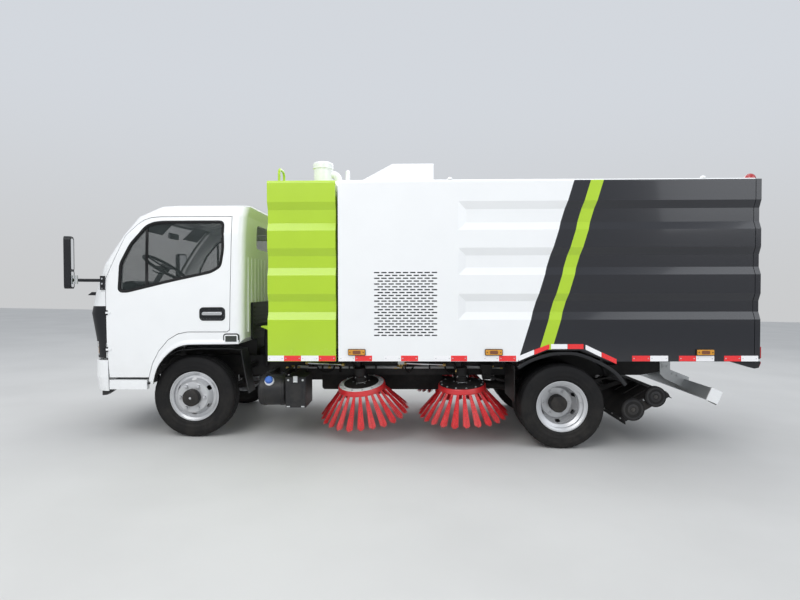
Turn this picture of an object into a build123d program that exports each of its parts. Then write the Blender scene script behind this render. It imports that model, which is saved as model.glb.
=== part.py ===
from build123d import *
import math
import os

os.makedirs("parts", exist_ok=True)

# Lengths are in millimetres. The truck is drawn with its body level: x runs rearward from the
# front axle, y to the truck's right, z up from the ground under the front wheels. The rear axle
# hangs lower than the front one, and the whole truck is turned onto its wheels when written.

# Wheels and axles
wheelbase = 3308
rear_axle_drop = 63.5
tyre_radius = 372
tyre_width = 200
rim_seat_radius = 203
rim_flange_radius = 225
rim_half_width = 82
disc_offset = 120
front_track = 1503
rear_track = 1494
twin_spacing = 240
stud_circle_radius = 111
stud_count = 6
hub_radius = 74
hub_depth = 40
kingpin_y = 650
kingpin_radius = 11
spindle_radius = 38
seat_gap = 0.3

# Ladder frame and the subframe on it
rail_front = -780
rail_rear = 4438
rail_outer = 400
rail_web = 8
rail_flange = 65
rail_bottom = 505
rail_top = 695
cross_member_z = 642
cross_member_radius = 38
subframe_top = 820
subframe_width = 60
subframe_front = 700
tow_pin_x = 4500
tow_pin_z = 600
tow_pin_hole = 20

# Load body: water tank section in front, tipping hopper behind it
body_half = 1030
body_floor = 718
body_roof = 2294
tank_front = 729
body_seam = 1336
seam_gap = 22
body_rear = 4973
hopper_floor = 830
hopper_wall = 55
floor_plate = 12
tailgate_thick = 45
tailgate_gap = 5
gate_hinge_rows = (-800, -270, 270, 800)
bulkhead_x = 2390
bulkhead_thick = 40
rib_depth = 30
rib_slope = 66
rib_start = 2390
rib_rows = ((1080, 1305), (1467, 1703), (1857, 2105))  # bottom and top of each recess
hinge_x = 4400
hinge_z = 775
hinge_pin_radius = 25
hinge_boss_radius = 44
lift_y = 220
lift_foot = (2420, 600)
lift_eye = (3600, 712)
barrel_radius = 45
rod_radius = 26

# Cab
cab_wall = 40
corner_width = 95
corner_length = 130
rear_corner = 70
door_wall = 55
glass_inset = 14
glass_thick = 6
door_gap = 6
cab_rear = 483
windscreen_bottom = 1335
windscreen_top = 2035
panel_top = 1200
panel_bottom = 735
panel_rear = -748
footwell_floor = 660
footwell_rear = -430
bench_floor = 900
seat_rows = (-520, 420)
tunnel_half = 430
tunnel_floor = 980
floor_thick = 20
tilt_x = -800
tilt_z = 740
tilt_pin_radius = 18
door_hinge_x = -742
door_hinge_y = 942
door_hinge_rows = (790, 1120)
door_pin_radius = 5
steer_wheel_at = (-416, -480, 1560)
steer_wheel_radius = 215
steer_column_tilt = 33
bumper_top = 715
bumper_end = -737
bumper_thick = 12
guard_half = 900

# Sweeping gear
brush_spots = ((1512, 640, 5, 12), (2456, 640, 2, 6.5))  # x, y, lower to the front, lower outside
brush_disc_radius = 217
brush_tip_radius = 415
brush_disc_z = 470
brush_rim_height = 60
tuft_length = 330
tuft_count = 26
arm_pivot_y = 490
arm_reach = 483
arm_top = 700
nozzle_pivot = (3745, 330)
nozzle_hinge = (4070, 440)
nozzle_half = 880
nozzle_tilt = 30
caster_spots = {"front": (-195, -74, 100), "rear": (33, -74, 92)}  # x, z from the hinge; radius

front_axle_z = tyre_radius
rear_axle_z = tyre_radius - rear_axle_drop
rake = math.degrees(math.atan2(rear_axle_drop, wheelbase))
front_wheel_y = front_track / 2
rear_wheel_y = rear_track / 2


def block(x0, x1, y0, y1, z0, z1):
    return Pos((x0 + x1) / 2, (y0 + y1) / 2, (z0 + z1) / 2) * Box(x1 - x0, y1 - y0, z1 - z0)


def outline(points, radius=0):
    if radius:
        return make_face(FilletPolyline(*points, radius=radius, close=True).edges())
    return make_face(Polyline(*points, close=True).edges())


def side_plate(face, y0, y1):
    """A face drawn in x and z, between two y planes."""
    return extrude(Plane.XZ.offset(-y1) * face, amount=y1 - y0)


def cross_plate(face, x0, x1):
    """A face drawn in y and z, between two x planes."""
    return extrude(Plane.YZ.offset(x0) * face, amount=x1 - x0)


def rod_y(x, z, y0, y1, radius):
    return Pos(x, (y0 + y1) / 2, z) * Rot(90, 0, 0) * Cylinder(radius, y1 - y0)


def rod_x(y, z, x0, x1, radius):
    return Pos((x0 + x1) / 2, y, z) * Rot(0, 90, 0) * Cylinder(radius, x1 - x0)


def rod_z(x, y, z0, z1, radius):
    return Pos(x, y, (z0 + z1) / 2) * Cylinder(radius, z1 - z0)


def rod_between(start, end, radius):
    start, end = Vector(start), Vector(end)
    return extrude(Plane(origin=start, z_dir=end - start) * Circle(radius), (end - start).length)


def both_sides(shape):
    return [shape, mirror(shape, about=Plane.XZ)]


def join(shapes):
    first, *rest = shapes
    for shape in rest:
        first = first + shape
    return first


nodes = {}


def keep(name, *shapes):
    solids = []
    for shape in shapes:
        solids += shape.solids()
    nodes[name] = solids


# Frame: two channel rails and the cross members between their webs
rail = block(rail_front, rail_rear, rail_outer - rail_flange, rail_outer, rail_bottom, rail_top)
rail -= block(rail_front - 1, rail_rear + 1, rail_outer - rail_flange - 1, rail_outer - rail_web,
              rail_bottom + rail_web, rail_top - rail_web)
rail_cut = outline([(rail_rear - 230, rail_bottom - 1), (rail_rear + 1, rail_bottom - 1),
                    (rail_rear + 1, rail_bottom + 45)])
rail -= side_plate(rail_cut, rail_outer - rail_flange - 1, rail_outer + 1)
keep("frame", *both_sides(rail))
member_half = rail_outer - rail_web - seat_gap
cross_rods = [rod_y(x, cross_member_z, -member_half, member_half, cross_member_radius)
              for x in (rail_front + 60, 640, 1300, 2200, 3800, 4330)]
foot_x, foot_z = lift_foot
foot_tube = rod_y(foot_x - 70, foot_z, -member_half, member_half, 38)
foot_cheek = side_plate(
    outline([(foot_x - 70, foot_z - 34), (foot_x + 28, foot_z - 28), (foot_x + 28, foot_z + 28),
             (foot_x - 70, foot_z + 34)]), lift_y + 26, lift_y + 38)
foot_cheeks = foot_cheek + Pos(0, -64, 0) * foot_cheek
foot_pin = rod_y(foot_x, foot_z, lift_y - 38, lift_y + 38, 16)
lift_foot_tube = join([foot_tube] + both_sides(foot_cheeks + foot_pin))
tow_beam = block(rail_rear - 58, rail_rear - 28, -member_half, member_half,
                 cross_member_z - 92, cross_member_z + 8)
tow_ear = block(rail_rear - 30, tow_pin_x, -45, 45, tow_pin_z - 40, tow_pin_z + 40)
tow_ear += rod_z(tow_pin_x, 0, tow_pin_z - 40, tow_pin_z + 40, 45)
tow_ear -= block(rail_rear - 10, tow_pin_x + 60, -60, 60, tow_pin_z - 22, tow_pin_z + 22)
tow_ear -= rod_z(tow_pin_x, 0, tow_pin_z - 60, tow_pin_z + 60, tow_pin_hole)
keep("cross_members", *cross_rods, lift_foot_tube, tow_beam + tow_ear)

# The subframe and the brackets that carry the pivots; the brushes and the nozzle add theirs below
subframe_rear = hinge_x - 60
subframe = block(subframe_front, subframe_rear, rail_outer - subframe_width, rail_outer,
                 rail_top, subframe_top)
keep("subframe", *both_sides(subframe))
tilt_bracket = side_plate(
    outline([(tilt_x - 28, tilt_z - 28), (tilt_x - 28, tilt_z + 10), (tilt_x - 10, tilt_z + 28),
             (tilt_x + 28, tilt_z + 28), (tilt_x + 150, rail_top), (rail_front, rail_top)]),
    rail_outer - 50, rail_outer - 25)
tilt_pin = rod_y(tilt_x, tilt_z, rail_outer - 50, rail_outer + 4, tilt_pin_radius)
hinge_cheek = side_plate(
    outline([(subframe_rear, rail_top), (hinge_x + 38, rail_top), (hinge_x + 38, hinge_z),
             (subframe_rear, hinge_z)]), rail_outer - 15, rail_outer)
hinge_cheek += rod_y(hinge_x, hinge_z, rail_outer - 15, rail_outer, 38)
hinge_cheeks = hinge_cheek + Pos(0, -45, 0) * hinge_cheek
hinge_pin = rod_y(hinge_x, hinge_z, rail_outer - 62, rail_outer + 2, hinge_pin_radius)
brackets = both_sides(tilt_bracket + tilt_pin) + both_sides(hinge_cheeks + hinge_pin)


# Wheels, turned about their own axis: y = 0 is the rim's middle, +y its outer side
def ring(points):
    """A closed outline of (radius, y) points turned about the y axis."""
    return revolve(make_face(Polyline(*points, close=True).edges()), Axis.Y, 360)


def tyre_solid():
    half = tyre_width / 2
    bead = rim_seat_radius + seat_gap
    right = [(bead, 61), (rim_flange_radius + 2, 72), (rim_flange_radius + 14, 84),
             (tyre_radius - 92, half), (tyre_radius - 52, half - 3), (tyre_radius - 14, half - 13),
             (tyre_radius, half - 30)]
    left = [(radius, -y) for radius, y in reversed(right)]
    return ring(right + left)


def rim_solid(dish):
    """A rim whose disc lies at y = dish, toward the outer side when positive."""
    seat = rim_seat_radius
    flange = rim_flange_radius
    edge = rim_half_width
    well = 178
    wall = 7
    right = [(seat, 62), (flange - 6, 70), (flange, 76), (flange, edge), (flange - wall, edge),
             (flange - wall - 3, 78), (seat - wall, 66), (seat - wall, 34), (well - wall, 18)]
    left = [(well - wall, -18), (seat - wall, -34), (seat - wall, -66), (flange - wall - 3, -78),
            (flange - wall, -edge), (flange, -edge), (flange, -76), (flange - 6, -70), (seat, -62),
            (seat, -36), (well, -20), (well, 20), (seat, 36)]
    barrel = ring(right + left)
    turn = 1 if dish > 0 else -1
    depth = abs(dish)
    disc = ring([(hub_radius - 8, turn * depth), (stud_circle_radius + 26, turn * depth),
                 (150, turn * (depth - 16)), (well - wall - 1, turn * (depth * 0.42 + 6)),
                 (seat - wall + 1, turn * depth * 0.42), (seat - wall + 1, turn * (depth * 0.42 - 10)),
                 (well - wall - 1, turn * (depth * 0.42 - 8)),
                 (150, turn * (depth - 27)), (stud_circle_radius + 24, turn * (depth - 11)),
                 (hub_radius - 8, turn * (depth - 11))])
    hand_hole = Pos(159, turn * depth / 2, 0) * Rot(90, 0, 0) * SlotOverall(46, 22, rotation=90)
    for index in range(stud_count):
        angle = 30 + index * 360 / stud_count
        hole = extrude(hand_hole, amount=depth, both=True)
        disc -= Rot(0, angle, 0) * hole
    return barrel + disc


def hub_solid(face_y, cap_y, radius):
    """Hub and wheel studs, on the outer side of a disc whose face is at face_y."""
    hub = ring([(0, face_y - hub_depth), (hub_radius - 7, face_y - hub_depth), (hub_radius - 7, face_y),
                (radius, face_y + 1), (radius - 4, cap_y - 8), (radius - 16, cap_y), (0, cap_y)])
    nut = Pos(stud_circle_radius, face_y + 11, 0) * Rot(90, 0, 0) * extrude(RegularPolygon(15, 6), 11,
                                                                           both=True)
    return [hub] + [Rot(0, index * 360 / stud_count, 0) * nut for index in range(stud_count)]


def place_wheel(shapes, x, y, z):
    turned = shapes if y > 0 else [Rot(0, 0, 180) * shape for shape in shapes]
    return [Pos(x, y, z) * shape for shape in turned]


tyre = tyre_solid()
front_rim = rim_solid(disc_offset)
rear_rim = rim_solid(-disc_offset)
front_hub = hub_solid(disc_offset, disc_offset + 58, hub_radius - 6)
rear_hub = hub_solid(-disc_offset, -disc_offset + 105, hub_radius - 6)
for side, name in ((-1, "left"), (1, "right")):
    spot = (0, side * front_wheel_y, front_axle_z)
    keep(f"tyre_front_{name}", *place_wheel([tyre], *spot))
    keep(f"rim_front_{name}", *place_wheel([front_rim + front_hub], *spot))
    outer = (wheelbase, side * (rear_wheel_y + twin_spacing / 2), rear_axle_z)
    inner = (wheelbase, side * (rear_wheel_y - twin_spacing / 2), rear_axle_z)
    inner_rim = Rot(0, 0, 180) * rear_rim
    keep(f"tyres_rear_{name}", *place_wheel([tyre], *outer), *place_wheel([tyre], *inner))
    twin = place_wheel([rear_rim + rear_hub], *outer) + place_wheel([inner_rim], *inner)
    keep(f"rims_rear_{name}", join(twin))

# Front axle beam, knuckles and springs
beam_half = kingpin_y - 62
beam = side_plate(outline([(-40, front_axle_z - 95), (40, front_axle_z - 95),
                           (40, front_axle_z - 25), (-40, front_axle_z - 25)], 8),
                  -beam_half + 80, beam_half - 80)
beam_end = cross_plate(outline([(beam_half - 100, front_axle_z - 95),
                                (beam_half - 40, front_axle_z - 95),
                                (kingpin_y - 10, front_axle_z - 40), (kingpin_y - 6, front_axle_z + 40),
                                (kingpin_y - 30, front_axle_z + 40),
                                (beam_half - 100, front_axle_z - 25)]), -36, 36)
kingpin_boss = rod_z(0, kingpin_y, front_axle_z - 95, front_axle_z + 40, kingpin_radius + 8)
kingpin_boss += beam_end
kingpin_boss -= rod_z(0, kingpin_y, 0, 700, kingpin_radius + seat_gap)
spring_pad = block(-60, 60, 335, 405, front_axle_z - 30, front_axle_z + 28 - 40 - seat_gap)
keep("front_axle", join([beam] + both_sides(kingpin_boss + spring_pad)))

fork_x = 52
knuckle = block(-fork_x, fork_x, kingpin_y - 60, kingpin_y + 52, front_axle_z + 46, front_axle_z + 74)
knuckle += Pos(0, 0, -2 * front_axle_z) * block(-fork_x, fork_x, kingpin_y - 40, kingpin_y + 52,
                                                3 * front_axle_z - 128, 3 * front_axle_z - 101)
knuckle += block(-fork_x, fork_x, kingpin_y + 24, kingpin_y + 52, front_axle_z - 128, front_axle_z + 74)
spindle_end = front_wheel_y + disc_offset - hub_depth - seat_gap
knuckle += rod_y(0, front_axle_z, kingpin_y + 52, spindle_end, spindle_radius)
steer_lever = block(40, 230, kingpin_y - 50, kingpin_y - 18, front_axle_z + 50, front_axle_z + 72)
knuckle += steer_lever
knuckle += rod_z(0, kingpin_y, front_axle_z - 104, front_axle_z + 50, kingpin_radius)
keep("knuckle_right", knuckle)
keep("knuckle_left", mirror(knuckle, about=Plane.XZ))


def leaf_pack(x, z, y, half_span, rise, width, leaves):
    """Leaf springs as stacked arcs, shorter toward the bottom."""
    pack = None
    for index in range(leaves):
        span = half_span * (1 - 0.17 * index)
        drop = rise * (span / half_span) ** 2
        top = z - 13 * index
        upper = ThreePointArc((x - span, top + drop), (x, top), (x + span, top + drop))
        lower = ThreePointArc((x + span, top + drop - 14), (x, top - 14), (x - span, top + drop - 14))
        ends = [Line(upper @ 1, lower @ 0), Line(lower @ 1, upper @ 0)]
        face = make_face([upper.edge(), ends[0].edge(), lower.edge(), ends[1].edge()])
        leaf = side_plate(face, y - width / 2, y + width / 2)
        pack = leaf if pack is None else pack + leaf
    for end in (-1, 1):
        eye = rod_y(x + end * half_span, z + rise - 6, y - width / 2, y + width / 2, 24)
        pack += eye
    return pack


front_spring_y = 370
rear_spring_y = 462
front_pack = leaf_pack(0, front_axle_z + 28, front_spring_y, 560, 60, 60, 3)
front_shackles = join([block(x - 22, x + 22, front_spring_y - 27, front_spring_y + 27,
                             front_axle_z + 82, rail_bottom) for x in (-560, 560)])
rear_pack_z = rear_axle_z + 132
rear_pack = leaf_pack(wheelbase, rear_pack_z, rear_spring_y, 600, 70, 70, 5)
rear_hanger = side_plate(outline([(-34, rear_pack_z + 32), (34, rear_pack_z + 32),
                                  (60, rail_bottom + 110), (-60, rail_bottom + 110)]),
                         rail_outer, rear_spring_y + 24)
rear_hangers = join([Pos(wheelbase + x, 0, 0) * rear_hanger for x in (-600, 600)])
spring_block = block(wheelbase - 60, wheelbase + 60, rear_spring_y - 38, rear_spring_y + 38,
                     rear_axle_z + 30, rear_pack_z - 66 - seat_gap)
keep("leaf_springs", *both_sides(front_pack + front_shackles),
     *both_sides(rear_pack + rear_hangers))

axle_tube = rod_y(wheelbase, rear_axle_z, -520, 520, 52)
banjo = Pos(wheelbase, 0, rear_axle_z) * Rot(0, 90, 0) * Cylinder(150, 120)
banjo += rod_x(0, rear_axle_z + 12, wheelbase - 250, wheelbase - 40, 62)
stub_end = rear_wheel_y + twin_spacing / 2 - disc_offset - hub_depth - seat_gap
stub = rod_y(wheelbase, rear_axle_z, 500, stub_end, 50)
prop_shaft = rod_between((wheelbase - 245, 0, rear_axle_z + 12), (565, 0, 560), 42)
keep("rear_axle", join([axle_tube, banjo, prop_shaft] + both_sides(stub + spring_block)))

# Engines, as plain blocks at their places
engine = block(-300, 420, -270, 270, 560, 930) + block(-200, 300, -150, 150, 470, 560)
gearbox = block(420, 560, -150, 150, 500, 740)
engine_feet = block(-60, 20, 270, rail_outer - rail_web, 600, 640)
keep("main_engine", join([engine, gearbox] + both_sides(engine_feet)))
aux_front = body_seam + 164
aux_rear = bulkhead_x - bulkhead_thick - 20
fan_front = aux_rear - 150
aux = block(aux_front, fan_front, -300, 300, subframe_top - 60, 1380)
aux += block(fan_front, aux_rear, -160, 160, 800, 1200)
aux_feet = join([block(x, x + 60, 300, rail_outer, subframe_top, subframe_top + 14)
                 for x in (aux_front + 40, fan_front - 100)])
keep("aux_engine", join([aux] + both_sides(aux_feet)))

# Side tanks under the water tank section
tank_left = rod_x(-775, 425, 600, 850, 138)
tank_left = fillet(tank_left.edges(), 24)
tank_left += [rod_x(-775, 425, x, x + 24, 142) for x in (636, 790)]
tank_left += rod_between((705, -840, 480), (705, -893, 525), 30)
tank_saddles = join([block(x, x + 40, -760, -rail_outer, 540, 580) for x in (640, 780)])
tool_box = block(858, 1040, -925, -600, 290, 560) + block(880, 960, -601, -rail_outer, 520, 560)
fuel_tank = side_plate(outline([(600, 300), (1040, 300), (1040, 640), (600, 640)], 50), 560, 900)
fuel_straps = join([block(x, x + 40, rail_outer, 561, 540, 600) for x in (680, 920)])
fuel_tank += rod_z(960, 820, 630, 668, 42)
keep("side_tanks", tank_left + tank_saddles, tool_box, fuel_tank + fuel_straps)

# Water tank section in front of the hopper
tank_body = block(tank_front, body_seam - seam_gap / 2, -body_half, body_half, subframe_top, body_roof)
tank_body = fillet(tank_body.edges().filter_by(Axis.X).sort_by(Axis.Z)[-2:], 24)


def rib_recess(x0, x1, z0, z1):
    """A shallow trough pressed into the left side, with sloping edges."""
    taper = math.degrees(math.atan2(rib_slope, rib_depth))
    face = Plane.XZ.offset(body_half) * Pos((x0 + x1) / 2, (z0 + z1) / 2) * Rectangle(x1 - x0, z1 - z0)
    return extrude(face, amount=-rib_depth, taper=taper)


def side_troughs(x0, x1):
    troughs = []
    for z0, z1 in rib_rows:
        troughs += both_sides(rib_recess(x0, x1, z0, z1))
    return troughs


for trough in side_troughs(tank_front - 2 * rib_slope, body_seam + 2 * rib_slope):
    tank_body -= trough
skirt = block(tank_front, body_seam - seam_gap / 2, body_half - 40, body_half, body_floor, subframe_top)
keep("water_tank", join([tank_body] + both_sides(skirt)))

# Step and grab loop for climbing onto the tank roof
grab_path = Plane.YZ.offset(783) * FilletPolyline((-800, body_roof), (-800, body_roof + 152),
                                                   (-600, body_roof + 152), (-600, body_roof), radius=50)
grab_loop = sweep(Plane(origin=(783, -800, body_roof), z_dir=(0, 0, 1)) * Circle(12), grab_path)
tread = block(tank_front - 120, tank_front, -800, -600, 1000, 1012)
gusset = side_plate(outline([(tank_front - 110, 1000), (tank_front, 1000), (tank_front, 950)]), -800, -792)
keep("climbing_aids", grab_loop, tread + gusset + Pos(0, 192, 0) * gusset)

# Intake drum and pipe on the tank roof
drum_x, drum_y = body_seam - 196, -520
drum = rod_z(drum_x, drum_y, body_roof, body_roof + 200, 88)
drum += rod_z(drum_x, drum_y, body_roof + 200, body_roof + 262, 96)
drum = fillet(drum.edges().group_by(Axis.Z)[-1], 22)
pipe_path = Plane.XZ.offset(-drum_y) * FilletPolyline((60, body_roof + 150), (148, body_roof + 150),
                                                       (148, body_roof), radius=60)
pipe = sweep(Plane(origin=(60, drum_y, body_roof + 150), z_dir=(1, 0, 0)) * Circle(34), pipe_path)
keep("intake_drum", drum + Pos(drum_x, 0, 0) * pipe)

# Tipping hopper
hopper_front = body_seam + seam_gap / 2
shell_rear = body_rear - tailgate_thick - tailgate_gap
hopper = block(hopper_front, shell_rear, -body_half, body_half, body_floor, body_roof)
hopper = fillet(hopper.edges().filter_by(Axis.X).sort_by(Axis.Z)[-2:], 24)
inner_half = body_half - hopper_wall
inner_roof = body_roof - 40
hopper -= block(hopper_front + 40, bulkhead_x - bulkhead_thick, -inner_half, inner_half,
                body_floor - 1, inner_roof)
hopper -= block(bulkhead_x, shell_rear + 1, -inner_half, inner_half, hopper_floor + floor_plate,
                inner_roof)
hopper -= block(bulkhead_x - bulkhead_thick - 1, shell_rear + 1, -inner_half, inner_half,
                body_floor - 1, hopper_floor)
hopper -= block(hopper_front - 1, hopper_front + 41, -inner_half, inner_half, body_floor - 1,
                subframe_top + 8)
arch = outline([(2914, body_floor - 1), (3157, body_floor + 100), (3436, body_floor + 100),
                (3690, body_floor - 1)])
hopper -= side_plate(arch, -body_half - 1, body_half + 1)
for trough in side_troughs(rib_start, body_rear + 3 * rib_slope):
    hopper -= trough
hinge_ear = rod_y(hinge_x, hinge_z, rail_outer - 39, rail_outer - 21, hinge_boss_radius)
hinge_ear += block(hinge_x - 44, hinge_x + 44, rail_outer - 39, rail_outer - 21, hinge_z, hopper_floor)
hinge_ear -= rod_y(hinge_x, hinge_z, 0, rail_outer, hinge_pin_radius + seat_gap)
eye_x, eye_z = lift_eye
eye_cheek = side_plate(outline([(eye_x - 26, eye_z - 26), (eye_x + 26, eye_z - 26),
                                (eye_x + 60, hopper_floor), (eye_x - 60, hopper_floor)]),
                       lift_y + 36, lift_y + 48)
eye_cheeks = eye_cheek + Pos(0, -84, 0) * eye_cheek
eye_stub = rod_y(eye_x, eye_z, lift_y + 31, lift_y + 37, 12)
eye_stubs = eye_stub + Pos(0, 2 * lift_y, 0) * mirror(eye_stub, about=Plane.XZ)
hopper = join([hopper] + both_sides(hinge_ear + eye_cheeks + eye_stubs))
gate_hinge_x = body_rear - tailgate_thick / 2
gate_hinge_z = body_roof + 12
gate_pins = []
gate_knuckles = []
for y in gate_hinge_rows:
    gate_pins.append(rod_y(gate_hinge_x, gate_hinge_z, y - 40, y + 40, 8))
    for start in (y - 40, y + 22):
        gate_pins.append(block(shell_rear - 60, gate_hinge_x + 10, start, start + 18, body_roof - 2,
                               gate_hinge_z + 10))
    knuckle_hole = rod_y(gate_hinge_x, gate_hinge_z, y - 60, y + 60, 8 + seat_gap)
    gate_knuckles.append(rod_y(gate_hinge_x, gate_hinge_z, y - 21, y + 21, 15) - knuckle_hole)
hopper = join([hopper] + gate_pins)
keep("hopper", hopper)

hood_front = body_seam + 129
hood_rear = bulkhead_x - 204
hood_top = body_roof + 190
hood = side_plate(outline([(hood_front, body_roof), (hood_front + 355, hood_top),
                           (hood_rear, hood_top), (hood_rear, body_roof)]), -800, 0)
hood = fillet(hood.edges().filter_by(Axis.X).sort_by(Axis.Z)[-2:], 24)
post_x = body_seam + 73
roof_post = rod_z(post_x, -800, body_roof, body_roof + 112, 20)
roof_post += Pos(post_x, -800, body_roof + 112) * Sphere(20)
above_roof = block(0, body_rear, -body_half, body_half, body_roof, body_roof + 200)


def dome(x, y, radius):
    return Pos(x, y, body_roof) * Sphere(radius) & above_roof


domes = both_sides(dome(2321, 1000, 24)) + both_sides(dome(4493, 1000, 24))
keep("roof_fittings", hood, roof_post, *domes)
keep("rear_beacons", *both_sides(dome(4915, 960, 46)))

gate_bottom = body_floor + 22
gate_top = body_roof - 12
gate = block(body_rear - tailgate_thick, body_rear, -body_half, body_half, gate_bottom, gate_top)
for trough in side_troughs(rib_start, body_rear + 3 * rib_slope):
    gate -= trough
for z0, z1 in rib_rows:
    rib_face = Plane.YZ.offset(body_rear) * Pos(0, (z0 + z1) / 2) * Rectangle(1860, z1 - z0)
    gate += extrude(rib_face, amount=15, taper=55)
for y, knuckle_ring in zip(gate_hinge_rows, gate_knuckles):
    leaf = block(gate_hinge_x - 12, gate_hinge_x + 12, y - 21, y + 21, gate_top - 1, gate_hinge_z)
    leaf -= rod_y(gate_hinge_x, gate_hinge_z, y - 60, y + 60, 8 + seat_gap)
    gate = gate + leaf + knuckle_ring
keep("tailgate", gate)

# Lift cylinders: barrel hinged on the frame, rod reaching to the hopper's eye
lift_angle = math.degrees(math.atan2(eye_z - foot_z, eye_x - foot_x))
lift_length = math.hypot(eye_x - foot_x, eye_z - foot_z)


def along_lift(shape, y):
    """Carries a shape drawn along +x from the barrel's foot pin to its place."""
    return Pos(foot_x, y, foot_z) * Rot(0, -lift_angle, 0) * shape


barrel_end = lift_length - 90
barrel = rod_x(0, 0, 55, barrel_end, barrel_radius)
barrel -= rod_x(0, 0, 80, barrel_end + 1, rod_radius + 1)
barrel += block(0, 60, -18, 18, -26, 26) + rod_y(0, 0, -18, 18, 30)
barrel -= rod_y(0, 0, -30, 30, 16 + seat_gap)
rod = rod_x(0, 0, 100, lift_length - 20, rod_radius) + rod_y(lift_length, 0, -20, 20, 30)
rod -= rod_y(lift_length, 0, -30, 30, 12 + 6)
keep("lift_barrels", *[along_lift(barrel, y) for y in (-lift_y, lift_y)])
keep("lift_rods", *[along_lift(rod, y) for y in (-lift_y, lift_y)])


# Cab: a stack of plan outlines, rounded in front, lofted with straight sides between them
cab_rows = (  # height, front at the corner, bulge of the middle, half width, rear
    (500, -868, 118, 928, 483),
    (735, -868, 118, 936, 483),
    (902, -880, 116, 940, 483),
    (1135, -921, 94, 940, 484),
    (1318, -883, 112, 939, 486),
    (1578, -801, 118, 932, 490),
    (1843, -627, 110, 922, 494),
    (2005, -494, 98, 905, 503),
    (2096, -323, 60, 856, 520),
    (2117, -250, 40, 770, 500),
)


def plan_section(rows, z, inset):
    """The plan outline of a stack of rows at a height, moved inward by inset."""
    for lower, upper in zip(rows, rows[1:]):
        if lower[0] <= z <= upper[0]:
            share = (z - lower[0]) / (upper[0] - lower[0])
            corner, bulge, half, rear = [a + share * (b - a) for a, b in zip(lower[1:], upper[1:])]
    corner += inset
    rear -= inset
    half -= inset
    corner_y = half - corner_width
    side_x = corner + corner_length
    mid = (corner + 0.3 * corner_length, corner_y + 0.7 * corner_width)
    end_x = rear - rear_corner
    end_y = half - rear_corner
    turn_x = rear - 0.293 * rear_corner
    turn_y = half - 0.293 * rear_corner
    edges = [
        Line((rear, -end_y), (rear, end_y)),
        ThreePointArc((rear, end_y), (turn_x, turn_y), (end_x, half)),
        Line((end_x, half), (side_x, half)),
        ThreePointArc((side_x, half), mid, (corner, corner_y)),
        ThreePointArc((corner, corner_y), (corner - bulge, 0), (corner, -corner_y)),
        ThreePointArc((corner, -corner_y), (mid[0], -mid[1]), (side_x, -half)),
        Line((side_x, -half), (end_x, -half)),
        ThreePointArc((end_x, -half), (turn_x, -turn_y), (rear, -end_y)),
    ]
    face = make_face([edge.edge() for edge in edges])
    return Pos(0, 0, z) * face


def cab_loft(inset):
    top = cab_rows[-1][0] - inset
    heights = [row[0] for row in cab_rows if row[0] < top - 5] + [top]
    return loft([plan_section(cab_rows, z, inset) for z in heights], ruled=True)


cab_outside = cab_loft(0)
cab_inside = cab_loft(cab_wall)
door_inside = cab_loft(door_wall)
glass_outside = cab_loft(glass_inset)
glass_inside = cab_loft(glass_inset + glass_thick)
wide = body_half + 170

# Outlines seen from the side, as x and z
arch_line = [(483, 905), (445, 862), (316, 862), (-13, 859), (-100, 840), (-186, 783), (-274, 684),
             (-318, 583), (-333, 511), (-340, 498)]
door_line = [(387, 2001), (-260, 2002), (-343, 1995), (-405, 1975), (-468, 1934), (-582, 1832),
             (-755, 1443), (-748, 870), (-742, 762), (-731, 554), (-369, 554), (-332, 684),
             (-273, 797), (-185, 898), (-99, 948), (-12, 965), (340, 965), (368, 985)]
window_line = [(-627, 1336), (-560, 1333), (-165, 1428), (196, 1505), (279, 1554), (302, 1700),
               (302, 1949), (-242, 1949), (-325, 1939), (-388, 1909), (-524, 1751), (-614, 1577)]
toe_board = panel_bottom + floor_thick
side_floor_line = [(-1300, toe_board), (-750, toe_board), (-700, footwell_floor),
                   (footwell_rear, footwell_floor), (footwell_rear + 100, bench_floor),
                   (cab_rear + 60, bench_floor)]
below_side = outline([(-1300, 300)] + [(x, z - floor_thick) for x, z in side_floor_line]
                     + [(cab_rear + 60, 300)])
above_side = outline([(-1300, 2300)] + side_floor_line + [(cab_rear + 60, 2300)])
tunnel_line = [(-380, 800), (-380, tunnel_floor), (cab_rear + 60, tunnel_floor)]
below_tunnel = outline([(-1300, 300), (-1300, 800 - floor_thick)]
                       + [(x + floor_thick, z - floor_thick) for x, z in tunnel_line]
                       + [(cab_rear + 80, 300)])

room = cab_inside & side_plate(above_side, -wide, wide)
room -= side_plate(outline([(-1300, 300), (-1300, 800), *tunnel_line, (cab_rear + 60, 300)]),
                   -tunnel_half, tunnel_half)
under = cab_inside & side_plate(below_side, -wide, wide)
under += cab_inside & side_plate(below_tunnel, -tunnel_half + floor_thick, tunnel_half - floor_thick)
cab = cab_outside - room - under
front_strip = block(-1300, panel_rear, -wide, wide, panel_bottom, panel_top)
front_panel = (cab_outside - cab_inside) & front_strip
below_belt = block(-1300, -728, -wide, wide, 300, panel_bottom)
cab -= below_belt
cab -= front_panel
arch_cut = outline([(483 + 90, 905), *arch_line, (-340, 300), (573, 300)])
cab -= side_plate(arch_cut, -wide, wide)
step_cut = outline([(panel_rear - 1, 300), (panel_rear - 1, 554), (-369, 554), (-345, 498),
                    (-345, 300)])
cab -= side_plate(step_cut, -wide, -tunnel_half) + side_plate(step_cut, tunnel_half, wide)
door_face = outline(door_line)
door_hole = side_plate(door_face, 700, wide)
window_face = outline(window_line)
window_hole = side_plate(window_face, 700, wide)
for hole in both_sides(door_hole):
    cab -= hole & (cab_outside - door_inside)
half_top, half_low = 800, 838
screen_line = [(-half_low, windscreen_bottom), (half_low, windscreen_bottom),
               (half_top, windscreen_top), (-half_top, windscreen_top)]
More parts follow.
